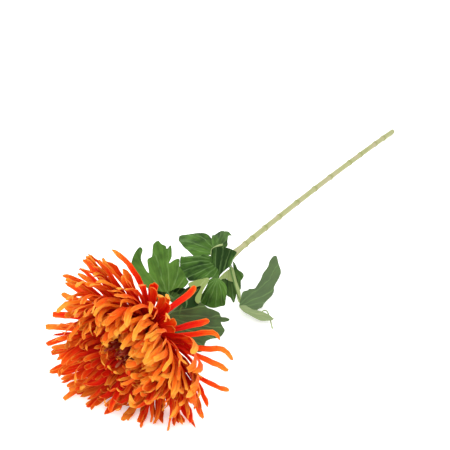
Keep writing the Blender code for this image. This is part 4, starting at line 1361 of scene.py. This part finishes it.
# %% Bend a blade and its rib
LEAF_THICKNESS = 0.0005
LEAF_CURL = 0.14
LEAF_WAVE = 0.0011
WAVE_ALONG = 210
WAVE_ACROSS = 60
# The veins bend towards the tip by this share, and the cloth stands so high between them
FAN_BEND = 0.25
QUILT_HEIGHT = 0.0006
RIB_RADIUS = 0.0011
RIB_STATIONS = 20
# A rib thins by this share towards its end, and sinks by this share of its radius below the blade, over so
# much of the blade's foot
RIB_TAPER = 0.75
RIB_SUNK = 0.7
RIB_SINK_RUN = 0.004


def line_length(dense):
    """The length of a dense line."""
    return sum((high - low).length for low, high in zip(dense, dense[1:]))


def line_place(dense, distance):
    """The point and direction at a distance along a dense line, straight on past its ends."""
    travelled = 0
    for low, high in zip(dense, dense[1:]):
        gap = (high - low).length
        if travelled + gap >= distance or high is dense[-1]:
            heading = (high - low).normalized()
            return low + heading * (distance - travelled), heading
        travelled += gap


def bend_blade(blade, place, length, fold, fan_start, veins, lift):
    """Bend a flat blade by its place function; the count of the veins at each corner, and their distance."""
    reach = max(abs(vertex.co.x) for vertex in blade.data.vertices) * MILLIMETRE
    fans, gaps = [], []
    for vertex in blade.data.vertices:
        across, along = vertex.co.x * MILLIMETRE, vertex.co.y * MILLIMETRE
        ray = Vector((vertex.co.y + fan_start, vertex.co.x))
        bend = 1 - FAN_BEND * min(1, ray.length * MILLIMETRE / length)
        fan = math.atan2(ray.y, ray.x) * veins / math.pi / bend
        fans.append(fan)
        gaps.append(ray.length * math.pi / veins * bend)
        rise = abs(across) * math.tan(math.radians(fold)) - LEAF_CURL * across ** 2 / reach
        wave = math.sin(along * WAVE_ALONG + across * WAVE_ACROSS) * min(1, abs(across) / reach)
        quilt = abs(math.sin(math.pi * fan)) * QUILT_HEIGHT
        vertex.co = place(along, across, lift * MILLIMETRE + rise + LEAF_WAVE * wave + quilt)
        vertex.co.z = max(vertex.co.z, FLOOR_CLEAR + LEAF_THICKNESS)
    return fans, gaps


def rib_stations(dense, petiole, rib_length, face):
    """Stations of the rib: it thins towards its end, and runs below the blade from the petiole's end on."""
    stations = []
    for step in range(RIB_STATIONS):
        share = step / (RIB_STATIONS - 1)
        distance = share * rib_length
        point, heading = line_place(dense, distance)
        size = RIB_RADIUS * (1 - RIB_TAPER * share)
        sunk = min(1, max(0, (distance - petiole) / RIB_SINK_RUN))
        spot = point - square_to(heading, face) * (size * RIB_SUNK * sunk)
        spot.z = max(spot.z, FLOOR_CLEAR + size)
        stations.append((spot, size))
    return stations


print("cloth of the leaves", LEAF_THICKNESS / MILLIMETRE, "mm thick")

# %% Make the leaves
# A petiole leaves the stem sideways: of its way along the stem, only this share counts there
PETIOLE_SLANT = 0.3
# How far a rib runs along its blade, and the leaves whose folded blades show no rib
RIB_SHARE = 0.8
BARE_RIB_SHARE = 0.05
BARE_RIBS = ("leaf_8", "leaf_9", "leaf_10")
ROD_SIDES = 8
STRIP_STEPS = 4
# The marks of a rod, which has no veins of its own
ROD_MARKS = {"bright": 0.5, "grey": 0.2, "fan": 0.5, "gap": 5.0}


def make_leaf(name, plan):
    """Trimmed grids bent into a blade, with their thickness, on a rib that grows from the stalk."""
    root_x, base, tip, bow, face, fold, fan_start, veins, parts = plan
    base, tip, face = FOOT + Vector(base), FOOT + Vector(tip), Vector(face).normalized()
    spine = stem_point(root_x)
    leave = base - spine
    leave.x *= PETIOLE_SLANT
    radius = STALK_RADIUS if root_x < collar_start else COLLAR_RADIUS
    root = spine + leave.normalized() * (radius - GAP)
    middle = (base + tip) / 2 + face * bow
    midrib = smooth_line([base, middle, tip])
    dense = smooth_line([root, base, middle])[:LINE_STEPS] + midrib
    length = line_length(midrib)
    petiole = line_length(dense) - length

    def place(along, across, lift):
        point, heading = line_place(midrib, along)
        normal = square_to(heading, face)
        return point + heading.cross(normal) * across + normal * lift

    pieces = []
    for lift, bright, grey, underside, outline in parts:
        blade = blade_grid(name + "_blade", outline)
        fans, gaps = bend_blade(blade, place, length, fold, fan_start, veins, lift)
        stain(blade, bright=bright, grey=grey, fan=fans, gap=gaps)
        for cloth in (leaf_lower, leaf_upper) if underside else (leaf_upper, leaf_lower):
            blade.data.materials.append(cloth)
        apply_solidify(blade, LEAF_THICKNESS, second_slot=1)
        pieces.append(blade)

    rib_length = petiole + (BARE_RIB_SHARE if name in BARE_RIBS else RIB_SHARE) * length
    rods = [rib_stations(dense, petiole, rib_length, face)]
    for size, lift, places in STRIPS.get(name, ()):
        spots = smooth_line([place(along * MILLIMETRE, across * MILLIMETRE, lift * MILLIMETRE)
                             for along, across in places], STRIP_STEPS)
        size *= MILLIMETRE
        rods.append([(Vector((spot.x, spot.y, max(spot.z, FLOOR_CLEAR + size))), size) for spot in spots])
    for number, line in enumerate(rods):
        cloth = leaf_lower if number else leaf_upper
        rod = make_rod(f"{name}_rod_{number}", line, ROD_SIDES, cloth, upward=face)
        stain(rod, **ROD_MARKS)
        pieces.append(rod)
    blade = join_up(pieces, name + "_cloth")
    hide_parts(name)
    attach(blade, "root")
    return blade


for name, plan in LEAVES.items():
    print(name, len(make_leaf(name, plan).data.polygons), "faces")

# %% [markdown]
# ## Floor and light
# The photo has an even, white surround and hardly a shadow, as flowers have that are photographed on a light
# table. The floor is such a table: white acrylic that shines a little itself and so loses the shadows. More
# lamps could do the same. A white sky lights all round instead, and one broad lamp from the upper left gives
# the petals their light and dark sides.

# %% Set the floor
FLOOR_SIZE = 12
FLOOR_ROUGHNESS = 0.9
FLOOR_GLOW = 0.3

clear_selection()
bpy.ops.mesh.primitive_plane_add(size=FLOOR_SIZE, location=(0, 0, 0))
floor = named("floor")
floor_material, floor_tree, floor_shader = new_material("lit white acrylic", FLOOR_ROUGHNESS, 0.0)
wire(floor_tree, floor_shader, {"Base Color": linear("#F7F7F7"), "Emission Color": linear("#FFFFFF"),
                                "Emission Strength": FLOOR_GLOW})
floor.data.materials.append(floor_material)
print("floor", FLOOR_SIZE, "m wide")

# %% Set the sky and the lamp
SKY_STRENGTH = 1.45
LAMP_SIZE = (1.6, 1.2)
LAMP_POWER = 12
LAMP_PLACE = FOOT + Vector((-0.9, -0.4, 1.7))

sky = bpy.data.worlds.new("sky")
bpy.context.scene.world = sky
sky.use_nodes = True
wire(sky.node_tree, sky.node_tree.nodes["Background"], {"Color": (1, 1, 1, 1), "Strength": SKY_STRENGTH})

lamp_data = bpy.data.lights.new("softbox", "AREA")
lamp_data.shape = "RECTANGLE"
lamp_data.size, lamp_data.size_y = LAMP_SIZE
lamp_data.energy = LAMP_POWER
lamp = bpy.data.objects.new("softbox", lamp_data)
bpy.context.scene.collection.objects.link(lamp)
lamp.location = LAMP_PLACE
lamp.rotation_euler = (CORE - lamp.location).to_track_quat("-Z", "Y").to_euler()
bpy.context.scene.view_settings.view_transform = "Standard"
print("lamp", round((CORE - LAMP_PLACE).length, 2), "m from the bloom")

# %% [markdown]
# ## Finish
# The patterns that the petals, florets and bracts were copied from are removed.

# %% Remove the patterns
for pattern in (*petal_patterns, floret_pattern, bract_pattern):
    bpy.data.objects.remove(pattern, do_unlink=True)
